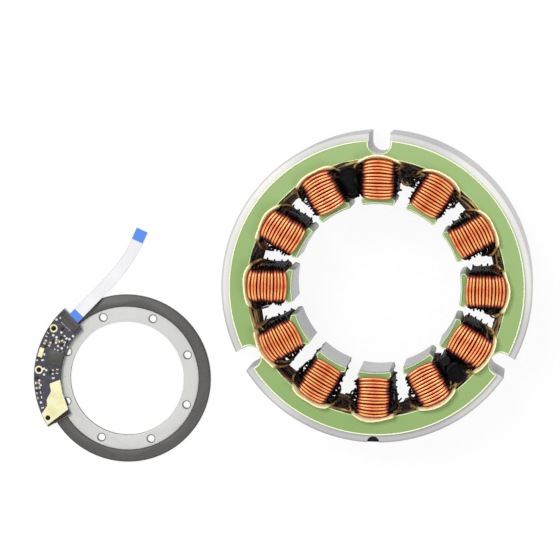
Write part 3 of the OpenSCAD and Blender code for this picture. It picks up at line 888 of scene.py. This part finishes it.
def make_coils():
    """Each coil is one unbroken wire over a sleeve of inner turns darkened as painted shade; along its middle it is
    deeper in tone between two painted highlights, and painted shade darkens its sides.
    """
    for index in range(TEETH):
        rng = random.Random(40 + index)
        outer = wire(winding_path(rng), WIRE_R, 2)
        outer.location.z = MID_Z * MM
        pick(outer)
        bpy.ops.object.transform_apply(location=True, rotation=False, scale=False)
        strays = []
        for side in (-1, 1):
            for i in range(10):
                strays.append(wire(stray_loop(rng, side, True, i / 9), rng.uniform(0.2, 0.28), 1))
            for i in range(5):
                strays.append(wire(stray_loop(rng, side, False, i / 4), rng.uniform(0.2, 0.28), 1))
        stray = joined(strays)
        # Per turn: where the painted shade on each side begins, and a random tone.
        shades = [(rng.uniform(4.5, 5.3), rng.uniform(4.5, 5.3), rng.uniform(0, 1)) for _ in range(TURNS + 2)]

        def turn_at(p):
            t = (CROWN_TO - p.x) / (CROWN_TO - CROWN_FROM)
            return max(0, min(TURNS, int(t * TURNS)))

        # Painted shade: near black down the coil's sides and below its crown, into the slot.
        def depth(p):
            left, right, _ = shades[turn_at(p)]
            fade = left if p.y < 0 else right
            side = smooth_step(abs(p.y), fade - 1.1, fade + 0.5)
            under = 1 - smooth_step(abs(p.z - MID_Z), COIL_HALF_H - 3.0, COIL_HALF_H - 1.2)
            return max(side, under)

        # Painted highlights either side of the crown's middle, fading towards the sides, over a random tone per turn.
        def tone(p):
            own = shades[turn_at(p)][2]
            centre = math.exp(-((p.y - 0.4 * own) / (1.0 + 0.5 * own)) ** 2)
            return 0.3 * own + 0.7 * (1 - centre) * (1 - 0.6 * smooth_step(abs(p.y), 3.2, 4.6))

        set_attribute(outer, "shade", depth)
        set_attribute(outer, "tone", tone)
        inner = rounded_sleeve(SLOT_FROM + 0.3, COIL_TO - 0.2, COIL_HALF_W - 0.34 - WIRE_R * 1.9,
                               COIL_HALF_H - WIRE_R * 2.3, NECK_HALF_W, COIL_HALF_H - 4)
        inner = joined([inner, crown_bed(True), crown_bed(False)])
        # Painted shade: the inner turns and the stray loops darken towards the coil's sides.
        for piece in (inner, stray):
            set_attribute(piece, "shade", lambda p: smooth_step(abs(p.y), 4.2, 5.2))
            set_attribute(piece, "tone", lambda p: 0.0)
        stray.data.materials.append(SHADED_TURNS)
        outer.data.materials.append(COPPER)
        outer.data.materials.append(SHADED_TURNS)
        inner.data.materials.append(BED)
        # Faces in the slot or beyond the crown take the near-black painted shade.
        for face in outer.data.polygons:
            centre = face.center / MM
            deep = abs(centre.z - MID_Z) < COIL_HALF_H - 3.2 or abs(centre.y) > CROWN_HALF_W + 0.35
            face.material_index = 1 if deep else 0
        piece = joined([outer, stray, inner])
        piece.rotation_euler.z = tooth_turn(index)
        pick(piece)
        bpy.ops.object.transform_apply(location=True, rotation=True, scale=True)
        name = f"winding_{index + 1:02d}"
        piece.name = name
        piece.data.name = name
        bpy.ops.object.shade_smooth_by_angle(angle=math.radians(60))
        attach(piece, BODY)
        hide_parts(f"coil_{index + 1:02d}")


# Stator: paper, links and sleeves

# A paper cuff's foot seen along the axis, from its middle to its end: across the tooth, out along it
CUFF_PLAN = ((0, 41.6), (2.2, 41.5), (4.2, 41.0), (5.8, 40.3), (7.0, 39.5), (7.9, 38.5))
CUFF_LEAN = 1.0
REAR_LEAN = 0.5
CUFF_H = 2.8


def cuff_place(share):
    """A place on the cuff's foot line, -1 to 1 from end to end."""
    at = abs(share) * (len(CUFF_PLAN) - 1)
    i = min(int(at), len(CUFF_PLAN) - 2)
    f = at - i
    across = CUFF_PLAN[i][0] * (1 - f) + CUFF_PLAN[i + 1][0] * f
    out = CUFF_PLAN[i][1] * (1 - f) + CUFF_PLAN[i + 1][1] * f
    return math.copysign(across, share), out


def paper_strip(index, rng, front):
    """A wavy paper cup behind one coil: it leans out over the yoke, and its ends dip into the slots."""
    bpy.ops.mesh.primitive_grid_add(x_subdivisions=52, y_subdivisions=6, size=2)
    piece = bpy.context.object
    waves = [(rng.uniform(3, 9), rng.uniform(0, 6.3)) for _ in range(3)]
    shade = []
    for v in piece.data.vertices:
        share, w = v.co.x, (v.co.y + 1) / 2
        across, out = cuff_place(share)
        ripple = sum(math.sin(share * f + p) for f, p in waves) / 3
        tuck = smooth_step(abs(share), 0.6, 1.0)
        lean = ((CUFF_LEAN if front else REAR_LEAN) + 0.25 * ripple) * w * (1 - 0.5 * tuck)
        height = w * (CUFF_H + 0.3 * ripple) - 2.4 * tuck + 0.1
        up = FRONT_Z + height if front else -COAT_T - height
        v.co = in_tooth(index, out + lean, across * (1 + 0.02 * ripple), up) * MM
        # Painted shade: the cup's ends darken where they dip into the slots.
        shade.append(smooth_step(abs(share) + 0.08 * ripple, 0.62, 0.95))
    layer = piece.data.attributes.new("shade", "FLOAT", "POINT")
    layer.data.foreach_set("value", shade)
    thick = piece.modifiers.new("Wall", "SOLIDIFY")
    thick.thickness = 0.5 * MM
    thick.offset = 0
    apply_modifiers(piece)
    return piece


def make_collars():
    for front, node, name in ((True, "front_collars", "front_paper_cuffs"), (False, "rear_collars", "rear_paper_cuffs")):
        rng = random.Random(7 if front else 8)
        piece = joined([paper_strip(i, rng, front) for i in range(TEETH)])
        pick(piece)
        bpy.ops.object.mode_set(mode="EDIT")
        bpy.ops.mesh.select_all(action="SELECT")
        bpy.ops.mesh.normals_make_consistent(inside=False)
        bpy.ops.object.mode_set(mode="OBJECT")
        material = CUFF_PAPER if front else REAR_PAPER
        finish_piece(piece, name, [material], replaces=[node], smooth=60)


def slot_strand(rng, slot, out, low, radius):
    """A lead that runs round the yoke's wall from one coil to the next."""
    ways = []
    steps = 6
    phase = rng.uniform(0, 6.3)
    sag = rng.uniform(0.3, 1.3)
    tilt = rng.uniform(-1.2, 1.2)
    for i in range(steps + 1):
        share = i / steps
        angle = tooth_turn(slot) - PITCH_ANGLE * (0.17 + 0.66 * share)
        r = out + 0.35 * math.sin(share * 5 + phase) - 0.7 * abs(2 * share - 1) ** 3
        up = low - sag * math.sin(math.pi * share) + tilt * (share - 0.5) + 0.25 * math.sin(share * 7 + phase)
        ways.append(Vector((r * math.cos(angle), r * math.sin(angle), up)))
    return wire(ways, radius, 2)


def dropping_strand(rng, slot, side):
    """A lead that comes off a coil's corner and drops into the slot."""
    start = in_tooth(slot if side > 0 else slot + 1, rng.uniform(37.5, 40.3), -side * 5.2, FRONT_Z + rng.uniform(0.2, 2.2))
    away = in_tooth(slot if side > 0 else slot + 1, rng.uniform(36, 39), -side * rng.uniform(6.6, 7.6), FRONT_Z + rng.uniform(-1.5, 0.8))
    down = in_tooth(slot if side > 0 else slot + 1, rng.uniform(33, 38), -side * rng.uniform(6.9, 8.2), FRONT_Z - rng.uniform(3, 6))
    end = in_tooth(slot if side > 0 else slot + 1, rng.uniform(33, 37), -side * 6.6, FRONT_Z - rng.uniform(8, 12))
    return wire([start, start.lerp(away, 0.6) + Vector((0, 0, 0.5)), away, down, end], rng.uniform(0.26, 0.42), 2)


def slot_tangle(rng, slot, inner, count):
    """Loose leads that wander in one slot between two coils, out to the yoke's wall."""
    strands = []
    for _ in range(count):
        out = rng.uniform(inner, 40.6)
        up = FRONT_Z + rng.uniform(-5, 0.8)
        points = []
        for i in range(6):
            room = out * math.sin(PITCH_ANGLE / 2) - COIL_HALF_W
            across = rng.uniform(-room, room)
            a = tooth_turn(slot + 0.5)
            points.append(Vector((out * math.cos(a) - across * math.sin(a), out * math.sin(a) + across * math.cos(a), up)))
            out = min(40.8, max(inner, out + rng.uniform(-2.6, 2.6)))
            up = min(FRONT_Z + 1, up + rng.uniform(-1.2, 1.2))
        strands.append(wire(points, rng.uniform(0.3, 0.48), 2))
    return strands


def paper_tails(rng, index, side):
    """Torn strips that hang from the end of a paper cup into the slot."""
    tails = []
    for _ in range(rng.choice((1, 2))):
        points = [in_tooth(index, 39.6, side * 7.2, FRONT_Z + 1.2)]
        points.append(in_tooth(index, rng.uniform(38.2, 39.2), side * rng.uniform(7.6, 8.4), FRONT_Z + 0.4))
        points.append(in_tooth(index, rng.uniform(36.5, 38), side * rng.uniform(7.4, 8.6), FRONT_Z - rng.uniform(1, 2.5)))
        points.append(in_tooth(index, rng.uniform(35, 36.8), side * rng.uniform(7.1, 7.9), FRONT_Z - rng.uniform(3.5, 6)))
        tails.append(wire(points, rng.uniform(0.25, 0.42), 1))
    return tails


# The slots with little room behind their leads
THIN_SLOTS = (2, 3)
# The slots where the winding's ends are joined: slot, inner end of the loose leads, and their number
TANGLED_SLOTS = ((0, 34.5, 26), (6, 36.5, 20), (4, 39, 5), (11, 39.5, 4), (9, 38, 8), (2, 38.5, 6))


def make_links():
    """Leads and sleeved links lie along the yoke's wall in every slot."""
    rng = random.Random(21)
    sleeved, leads = [], []
    for slot in range(TEETH):
        sleeved.append(slot_strand(rng, slot, 40.9, FRONT_Z + 0.8, 0.4))
        if rng.random() < 0.6:
            sleeved.append(slot_strand(rng, slot, 39.8, FRONT_Z - 0.2, 0.34))
        spread = 0.3 if slot in THIN_SLOTS else 0.55
        for layer in range(11):
            out = 41.1 - spread * (layer % 5) - rng.uniform(0, spread)
            leads.append(slot_strand(rng, slot, out, FRONT_Z + 1.0 - 0.7 * layer, rng.uniform(0.34, 0.46)))
        for side in (-1, 1):
            for _ in range(4):
                leads.append(dropping_strand(rng, slot, side))
    for slot, inner, count in TANGLED_SLOTS:
        leads += slot_tangle(rng, slot, inner, count)
    for piece in leads:
        tone = rng.random()
        set_attribute(piece, "tone", lambda p: tone)
    for index in range(TEETH):
        for side in (-1, 1):
            sleeved += paper_tails(rng, index, side)
    # Painted shade: a shade value, varied by place, keeps most of the sleeving brown along the slot wall.
    for piece in sleeved:
        set_attribute(piece, "shade", lambda p: 0.72 + 0.28 * math.sin(p.x * 0.9) * math.cos(p.y * 0.8))
    finish_piece(joined(sleeved), "link_sleeving", [LINK_PAPER], replaces=["link_sleeves"], smooth=60)
    finish_piece(joined(leads), "crossing_leads", [LEAD], smooth=60)


def shrunk_sleeve(angle, out, half_out, half_across, top, length, rng):
    """A dark sleeve with shrink folds, pressed oval between two coils, standing in a slot."""
    bpy.ops.mesh.primitive_cylinder_add(vertices=40, radius=1, depth=length * MM)
    piece = bpy.context.object
    phase = rng.uniform(0, 6.3)
    bpy.ops.object.mode_set(mode="EDIT")
    bpy.ops.mesh.select_all(action="SELECT")
    bpy.ops.mesh.subdivide(number_cuts=5)
    bpy.ops.object.mode_set(mode="OBJECT")
    for v in piece.data.vertices:
        t = v.co.z / (length * MM) + 0.5
        a = math.atan2(v.co.y, v.co.x)
        fold = 1 + 0.05 * math.sin(3 * a + t * 9 + phase) + 0.03 * math.sin(9 * a - t * 14 + phase * 2)
        neck = 1 - 0.12 * smooth_step(t, 0.93, 1.0)
        v.co.x *= fold * neck * half_out * MM
        v.co.y *= fold * neck * half_across * MM
    piece.rotation_euler.z = angle
    piece.location = (out * math.cos(angle) * MM, out * math.sin(angle) * MM, (top - length / 2) * MM)
    bpy.ops.object.transform_apply(location=True, rotation=True, scale=True)
    return piece


def slot_wrap(angle, inner, rng):
    """The shrunk cap over the joints in a slot: stiff, creased, and pressed down between the two coils."""
    bpy.ops.mesh.primitive_grid_add(x_subdivisions=60, y_subdivisions=40, size=2)
    piece = bpy.context.object
    folds = [(rng.uniform(3, 13), rng.uniform(-7, 7), rng.uniform(0, 6.3)) for _ in range(5)]
    for v in piece.data.vertices:
        along, side = (v.co.x + 1) / 2, v.co.y
        out = inner + (41.2 - inner) * along
        room = out * math.sin(PITCH_ANGLE / 2) - COIL_HALF_W + 1.2
        crease = sum(math.sin(along * f + side * g + p) for f, g, p in folds) / 5
        nose = 1 - 0.4 * (1 - smooth_step(along, 0, 0.3)) - 0.25 * smooth_step(along, 0.8, 1)
        drop = 3.2 * abs(side) ** 2.2 + 2.2 * (1 - smooth_step(along, 0, 0.3)) + 1.8 * smooth_step(along, 0.75, 1)
        across = side * room * nose * (1 + 0.14 * crease)
        up = FRONT_Z + 1.4 + 1.0 * crease - drop
        v.co = Vector((out + 0.5 * crease, across, up)) * MM
    thick = piece.modifiers.new("Wall", "SOLIDIFY")
    thick.thickness = 0.4 * MM
    apply_modifiers(piece)
    piece.rotation_euler.z = angle
    bpy.ops.object.transform_apply(location=True, rotation=True, scale=True)
    return piece


# Sleeves in a slot: how far out its middle lies, and its half sizes along and across the slot
PHASE_ROW = ((39.2, 1.95, 3.3), (35.6, 1.95, 2.5), (32.2, 1.6, 1.75))
NEUTRAL_ROW = ((40.0, 1.1, 1.6),)
# The slots whose joints are capped, and how far in the cap reaches
WRAPPED_SLOTS = ((105, 29.6), (315, 33.6))


def make_sleeves():
    rng = random.Random(5)
    for node, name, angles, row in (
        ("joint_sleeves", "phase_sleeving", (105, 315), PHASE_ROW),
        ("neutral_sleeves", "neutral_sleeving", (75, 285), NEUTRAL_ROW),
    ):
        parts = []
        for degrees in angles:
            a = math.radians(degrees)
            for out, half_out, half_across in row:
                parts.append(shrunk_sleeve(a, out, half_out, half_across, FRONT_Z + 0.4, 22, rng))
        finish_piece(joined(parts), name, [SLEEVE], replaces=[node], smooth=60)
    caps = [slot_wrap(math.radians(degrees), inner, rng) for degrees, inner in WRAPPED_SLOTS]
    finish_piece(joined(caps), "joint_wrap", [WRAP], smooth=60)


def make_stator():
    dress_core()
    make_notch_shadow()
    make_coat("front_coat", "front_green_coat", FRONT_Z)
    make_coat("rear_coat", "rear_green_coat", -COAT_T)
    dress_slots()
    make_coils()
    make_collars()
    make_links()
    make_sleeves()


# Encoder ring and read head

def ring_place(radius, degrees, up):
    a = math.radians(degrees)
    return Vector((RING_AT.x + radius * math.cos(a), RING_AT.y + radius * math.sin(a), up))


def board_place(share_r, share_a):
    """Radius and angle of a place on the board, by shares of its width and sweep."""
    return BOARD_IN + (BOARD_OUT - BOARD_IN) * share_r, BOARD_FROM + BOARD_SWEEP * share_a


def block(length, width, height, place, degrees, bevel=0.08, low=0):
    """A small bevelled block that stands on the board."""
    bpy.ops.mesh.primitive_cube_add(size=1)
    piece = bpy.context.object
    piece.dimensions = (length * MM, width * MM, height * MM)
    piece.location = Vector((place[0], place[1], place[2] + height / 2 + low)) * MM
    piece.rotation_euler.z = math.radians(degrees)
    bpy.ops.object.transform_apply(location=True, rotation=True, scale=True)
    if bevel:
        bevelled(piece, bevel, 1)
    return piece


def capped_chips(node, name, shares, length, width, height, body_material):
    """Small components: a body and two tinned ends each."""
    bodies, ends = [], []
    for share_r, share_a, turn in shares:
        r, a = board_place(share_r, share_a)
        place = ring_place(r, a, TOP_Z)
        degrees = a + turn
        bodies.append(block(length * 0.62, width * 0.96, height * 0.96, place, degrees, 0.05))
        way = Vector((math.cos(math.radians(degrees)), math.sin(math.radians(degrees)), 0))
        for side in (-1, 1):
            ends.append(block(length * 0.22, width, height, place + way * side * length * 0.39, degrees, 0.06))
    for piece in bodies:
        piece.data.materials.append(body_material)
    for piece in ends:
        piece.data.materials.append(TINNED)
    piece = joined(bodies + ends)
    finish_piece(piece, name, None, replaces=[node], smooth=30)


CAPACITORS = ((0.85, 0.3, 90), (0.66, 0.3, 90), (0.86, 0.64, 0), (0.86, 0.68, 0), (0.45, 0.24, 0), (0.25, 0.22, 0))
RESISTORS = ((0.9, 0.24, 90), (0.86, 0.72, 0), (0.86, 0.76, 0), (0.14, 0.53, 90), (0.3, 0.54, 90), (0.1, 0.25, 0))


def make_ring():
    softened("ring_hub", "turned_hub", 0.1, [HUB], "encoder_ring", 2)
    softened("pole_ring", "magnet_band", 0.15, [BAND], "encoder_ring", 2)


def make_read_head():
    softened("readhead_board", "circuit_board", 0.05, [MASK], segments=1)
    softened("board_eyelets", "mount_eyelets", 0.04, [CREAM], segments=1)
    softened("sensor_chip", "sensor_package", 0.12, [CHIP])
    capped_chips("board_capacitors", "capacitors", CAPACITORS, 1.6, 0.8, 0.5, TAN)
    capped_chips("board_resistors", "resistors", RESISTORS, 1.6, 0.8, 0.36, CHIP)
    softened("crystal_can", "crystal_case", 0.14, [CREAM])
    softened("plug_housing", "plug_shell", 0.1, [CREAM])
    softened("edge_contacts", "edge_pads", 0.03, [GOLD], segments=1)
    make_pads()
    make_black_parts()
    make_plug_legs()


PAD_SHARES = (
    (0.48, 0.265), (0.36, 0.285), (0.3, 0.33), (0.2, 0.29), (0.12, 0.33), (0.22, 0.18), (0.12, 0.17),
    (0.33, 0.17), (0.08, 0.12), (0.5, 0.16), (0.42, 0.33), (0.56, 0.22), (0.7, 0.22), (0.73, 0.4),
    (0.74, 0.45), (0.87, 0.8), (0.87, 0.845), (0.8, 0.62), (0.76, 0.66), (0.55, 0.53), (0.64, 0.52),
    (0.94, 0.46), (0.93, 0.1), (0.85, 0.07), (0.75, 0.06), (0.62, 0.57), (0.28, 0.6),
)


# Small black parts between the others, by shares of the board, and their turn
BLACK_PARTS = (
    (0.55, 0.13, 90), (0.6, 0.27, 90), (0.78, 0.33, 90), (0.4, 0.2, 90), (0.25, 0.26, 0), (0.16, 0.21, 90),
    (0.93, 0.43, 90), (0.88, 0.6, 0), (0.92, 0.7, 20), (0.52, 0.08, 0), (0.4, 0.545, 90), (0.95, 0.2, 90),
)


# The plug shell's lower edge, as shares of the board's sweep at its inner and outer side, and the legs below it
SHELL_EDGE = (0.95, 0.986)
LEG_COUNT = 9
LEG_W = 0.5
LEG_H = 0.5


def make_black_parts():
    rng = random.Random(12)
    parts = []
    for share_r, share_a, turn in BLACK_PARTS:
        r, a = board_place(share_r, share_a)
        parts.append(block(rng.uniform(0.9, 1.3), rng.uniform(0.6, 0.8), 0.45, ring_place(r, a, TOP_Z), a + turn, 0.05))
    finish_piece(joined(parts), "small_black_parts", [CHIP_BLACK], smooth=30)


def make_plug_legs():
    """Dark legs of the plug shell, side by side at the board's end."""
    legs = []
    for i in range(LEG_COUNT):
        share_r = 0.12 + 0.72 * i / (LEG_COUNT - 1)
        share_from = SHELL_EDGE[0] + (SHELL_EDGE[1] - SHELL_EDGE[0]) * share_r + 0.004
        r, a = board_place(share_r, (share_from + 0.998) / 2)
        length = math.radians(BOARD_SWEEP) * (0.998 - share_from) * r
        legs.append(block(LEG_W, length, LEG_H, ring_place(r, a, TOP_Z), a, 0.05))
    finish_piece(joined(legs), "plug_legs", [CHIP_BLACK], smooth=30)


def make_pads():
    """Bare tinned pads and round test points between the components."""
    rng = random.Random(3)
    pads = []
    for share_r, share_a in PAD_SHARES:
        r, a = board_place(share_r, share_a)
        place = ring_place(r, a, TOP_Z)
        if rng.random() < 0.45:
            bpy.ops.mesh.primitive_cylinder_add(vertices=16, radius=0.42 * MM, depth=0.14 * MM,
                                                location=(place + Vector((0, 0, 0.07))) * MM)
            pads.append(bevelled(bpy.context.object, 0.05, 1))
        else:
            pads.append(block(rng.uniform(0.6, 1.0), rng.uniform(0.45, 0.7), 0.16, place, a + rng.choice((0, 90, 20)), 0.05))
    finish_piece(joined(pads), "solder_pads", [TINNED], smooth=30)


def conn_frame():
    """Start, direction along the cable and direction across it, at the connector."""
    centre = Vector((RING_AT.x + CONN_AT * math.cos(CONN_ANGLE), RING_AT.y + CONN_AT * math.sin(CONN_ANGLE), TOP_Z))
    along = Vector((math.cos(CABLE_ANGLE), math.sin(CABLE_ANGLE), 0))
    return centre, along, Vector((-along.y, along.x, 0))


def make_connector():
    softened("cable_connector", "connector_shell", 0.07, [HOUSING], segments=1)
    softened("cable_lock", "lock_flap", 0.05, [CHIP], "flip_lock", 1)
    film = copy_of_node("cable_stiffener")
    centre, along, across = conn_frame()
    set_attribute(film, "across", lambda p: (p - centre).dot(across) / CABLE_W)
    bevelled(film, 0.05, 1)
    finish_piece(film, "blue_stiffener", [BLUE_FILM], replaces=["cable_stiffener"])
    contacts = []
    for i in range(8):
        at = centre + across * (i - 3.5) * 0.56 - along * (CONN_L / 2 + 0.22)
        contacts.append(block(0.5, 0.22, 0.16, at, math.degrees(CABLE_ANGLE), 0.03))
    finish_piece(joined(contacts), "connector_feet", [TINNED], smooth=30)


# The flat cable lies along the part's own route: along, left of it, and up, in millimetres
ROUTE = (
    (0, 0, 0), (1.2, 0, 0), (2.4, 0, -0.02), (4, 0, -0.1), (5.8, 0, -0.3), (7.6, 0, -0.65), (9.4, 0, -1.15),
    (11.2, 0, -1.75), (13, 0, -2.35), (14.8, 0.1, -2.9), (16.6, 0.2, -3.35), (18.4, 0.3, -3.62),
    (20.4, 0.5, -3.7), (22.6, 0.8, -3.7), (24.8, 1.2, -3.7), (27, 1.7, -3.7), (29, 2.3, -3.7), (30.4, 2.8, -3.7),
)
JOIN_GAP = 0.05


def cable_points():
    centre, along, across = conn_frame()
    start = centre + along * (CONN_L / 2 + STIFF_L + JOIN_GAP)
    start += Vector((0, 0, SLOT_FLOOR + STIFF_T + CABLE_T / 2))
    return [start + along * p[0] + across * p[1] + Vector((0, 0, p[2])) for p in ROUTE]


def make_cable():
    """A flat ribbon swept along the route, with its conductors across it."""
    points = cable_points()
    columns = 16
    half_w, half_t = CABLE_W / 2, CABLE_T / 2
    section = [(half_w * (2 * i / columns - 1), half_t) for i in range(columns + 1)]
    section += [(-x, -y) for x, y in section]
    mesh = bpy.data.meshes.new("cable")
    bm = bmesh.new()
    rings = []
    layer = bm.verts.layers.float.new("across")
    for i, point in enumerate(points):
        way = (points[min(i + 1, len(points) - 1)] - points[max(i - 1, 0)]).normalized()
        side = Vector((0, 0, 1)).cross(way).normalized()
        up = way.cross(side)
        ring = []
        for x, y in section:
            vert = bm.verts.new((point + side * x + up * y) * MM)
            vert[layer] = x / CABLE_W
            ring.append(vert)
        rings.append(ring)
    count = len(section)
    for a, b in zip(rings, rings[1:]):
        for i in range(count):
            j = (i + 1) % count
            bm.faces.new((a[i], a[j], b[j], b[i]))
    bm.faces.new(list(reversed(rings[0])))
    bm.faces.new(rings[-1])
    bmesh.ops.recalc_face_normals(bm, faces=bm.faces)
    bm.to_mesh(mesh)
    bm.free()
    cable = bpy.data.objects.new("cable", mesh)
    bpy.context.collection.objects.link(cable)
    finish_piece(cable, "white_flat_cable", [WHITE_FILM], replaces=["flat_cable"])
    tip = copy_of_node("cable_tip")
    end = points[-1]
    way = (points[-1] - points[-2]).normalized()
    across = Vector((-way.y, way.x, 0))
    set_attribute(tip, "across", lambda p: (p - end).dot(across) / CABLE_W)
    bevelled(tip, 0.05, 1)
    finish_piece(tip, "blue_cable_tip", [BLUE_FILM], replaces=["cable_tip"])
    length = sum((b - a).length for a, b in zip(points, points[1:]))
    points[0] * MM
    [p * MM for p in points]


# Stage

FLOOR_GLOW = 0.92


def under_board(tree):
    """1 on the floor under the circuit board, where its shade is kept and a painted shadow darkens it, and 0 elsewhere.
    """
    split = tree.nodes.new("ShaderNodeSeparateXYZ")
    tree.links.new(tree.nodes.new("ShaderNodeTexCoord").outputs["Object"], split.inputs[0])
    x = Value(split.outputs[0]) - RING_AT.x * MM
    y = Value(split.outputs[1]) - RING_AT.y * MM
    middle = math.radians(BOARD_FROM + BOARD_SWEEP / 2)
    r = (x * x + y * y) ** 0.5
    facing = (x * math.cos(middle) + y * math.sin(middle)) / r
    within = facing.above(math.cos(math.radians(BOARD_SWEEP / 2 + 1)), math.cos(math.radians(BOARD_SWEEP / 2 - 1)))
    return within * r.above((BOARD_IN - 0.5) * MM, BOARD_IN * MM) * (1 - r.above(BOARD_OUT * MM, (BOARD_OUT + 0.5) * MM))


def make_floor():
    bpy.ops.mesh.primitive_plane_add(size=6, location=(0, 0, FLOOR_Z))
    floor = bpy.context.object
    floor.name = "floor"
    material = bpy.data.materials.new("pale_floor")
    material.use_nodes = True
    tree = material.node_tree
    tree.nodes.clear()
    out = tree.nodes.new("ShaderNodeOutputMaterial")
    paper = tree.nodes.new("ShaderNodeBsdfDiffuse")
    paper.inputs["Color"].default_value = (0.62, 0.62, 0.62, 1)
    caught = tree.nodes.new("ShaderNodeBsdfDiffuse")
    glow = tree.nodes.new("ShaderNodeEmission")
    seen = tree.nodes.new("ShaderNodeMixShader")
    tree.links.new(caught.outputs[0], seen.inputs[1])
    tree.links.new(glow.outputs[0], seen.inputs[2])
    covered = under_board(tree)
    # Painted shadow: under the board the floor's colour drops to a tenth.
    tree.links.new((1 - covered * 0.9).socket, caught.inputs["Color"])
    tree.links.new(((1 - covered) * FLOOR_GLOW).socket, seen.inputs[0])
    rays = tree.nodes.new("ShaderNodeLightPath")
    direct = Value(rays.outputs["Is Camera Ray"]) + Value(rays.outputs["Is Glossy Ray"])
    direct = direct + Value(rays.outputs["Is Transmission Ray"])
    both = tree.nodes.new("ShaderNodeMixShader")
    tree.links.new(direct.socket, both.inputs[0])
    tree.links.new(paper.outputs[0], both.inputs[1])
    tree.links.new(seen.outputs[0], both.inputs[2])
    tree.links.new(both.outputs[0], out.inputs["Surface"])
    floor.data.materials.append(material)


def make_world():
    world = bpy.data.worlds.new("studio")
    bpy.context.scene.world = world
    world.use_nodes = True
    tree = world.node_tree
    back = tree.nodes["Background"]
    rays = tree.nodes.new("ShaderNodeLightPath")
    seen = Value(rays.outputs["Is Camera Ray"]) + Value(rays.outputs["Is Glossy Ray"])
    seen = seen + Value(rays.outputs["Is Transmission Ray"])
    strength = seen * 0.5 + 0.5
    tree.links.new(strength.socket, back.inputs["Strength"])
    back.inputs["Color"].default_value = (1, 1, 1, 1)


def soft_lamp(name, place, target, size, power):
    bpy.ops.object.light_add(type="AREA", location=place)
    lamp = bpy.context.object
    lamp.name = name
    lamp.data.shape = "DISK"
    lamp.data.size = size
    lamp.data.energy = power
    lamp.rotation_mode = "QUATERNION"
    lamp.rotation_quaternion = (Vector(target) - Vector(place)).to_track_quat("-Z", "Y")


make_cable()
make_stator()
make_ring()
make_read_head()
make_connector()
make_floor()
make_world()
soft_lamp("key_lamp", (-0.35, 0.45, 1.1), (0, 0, 0), 0.5, 9)
soft_lamp("fill_lamp", (0.7, -0.5, 0.9), (0, 0, 0), 0.8, 4)
bpy.context.scene.view_settings.view_transform = "Standard"
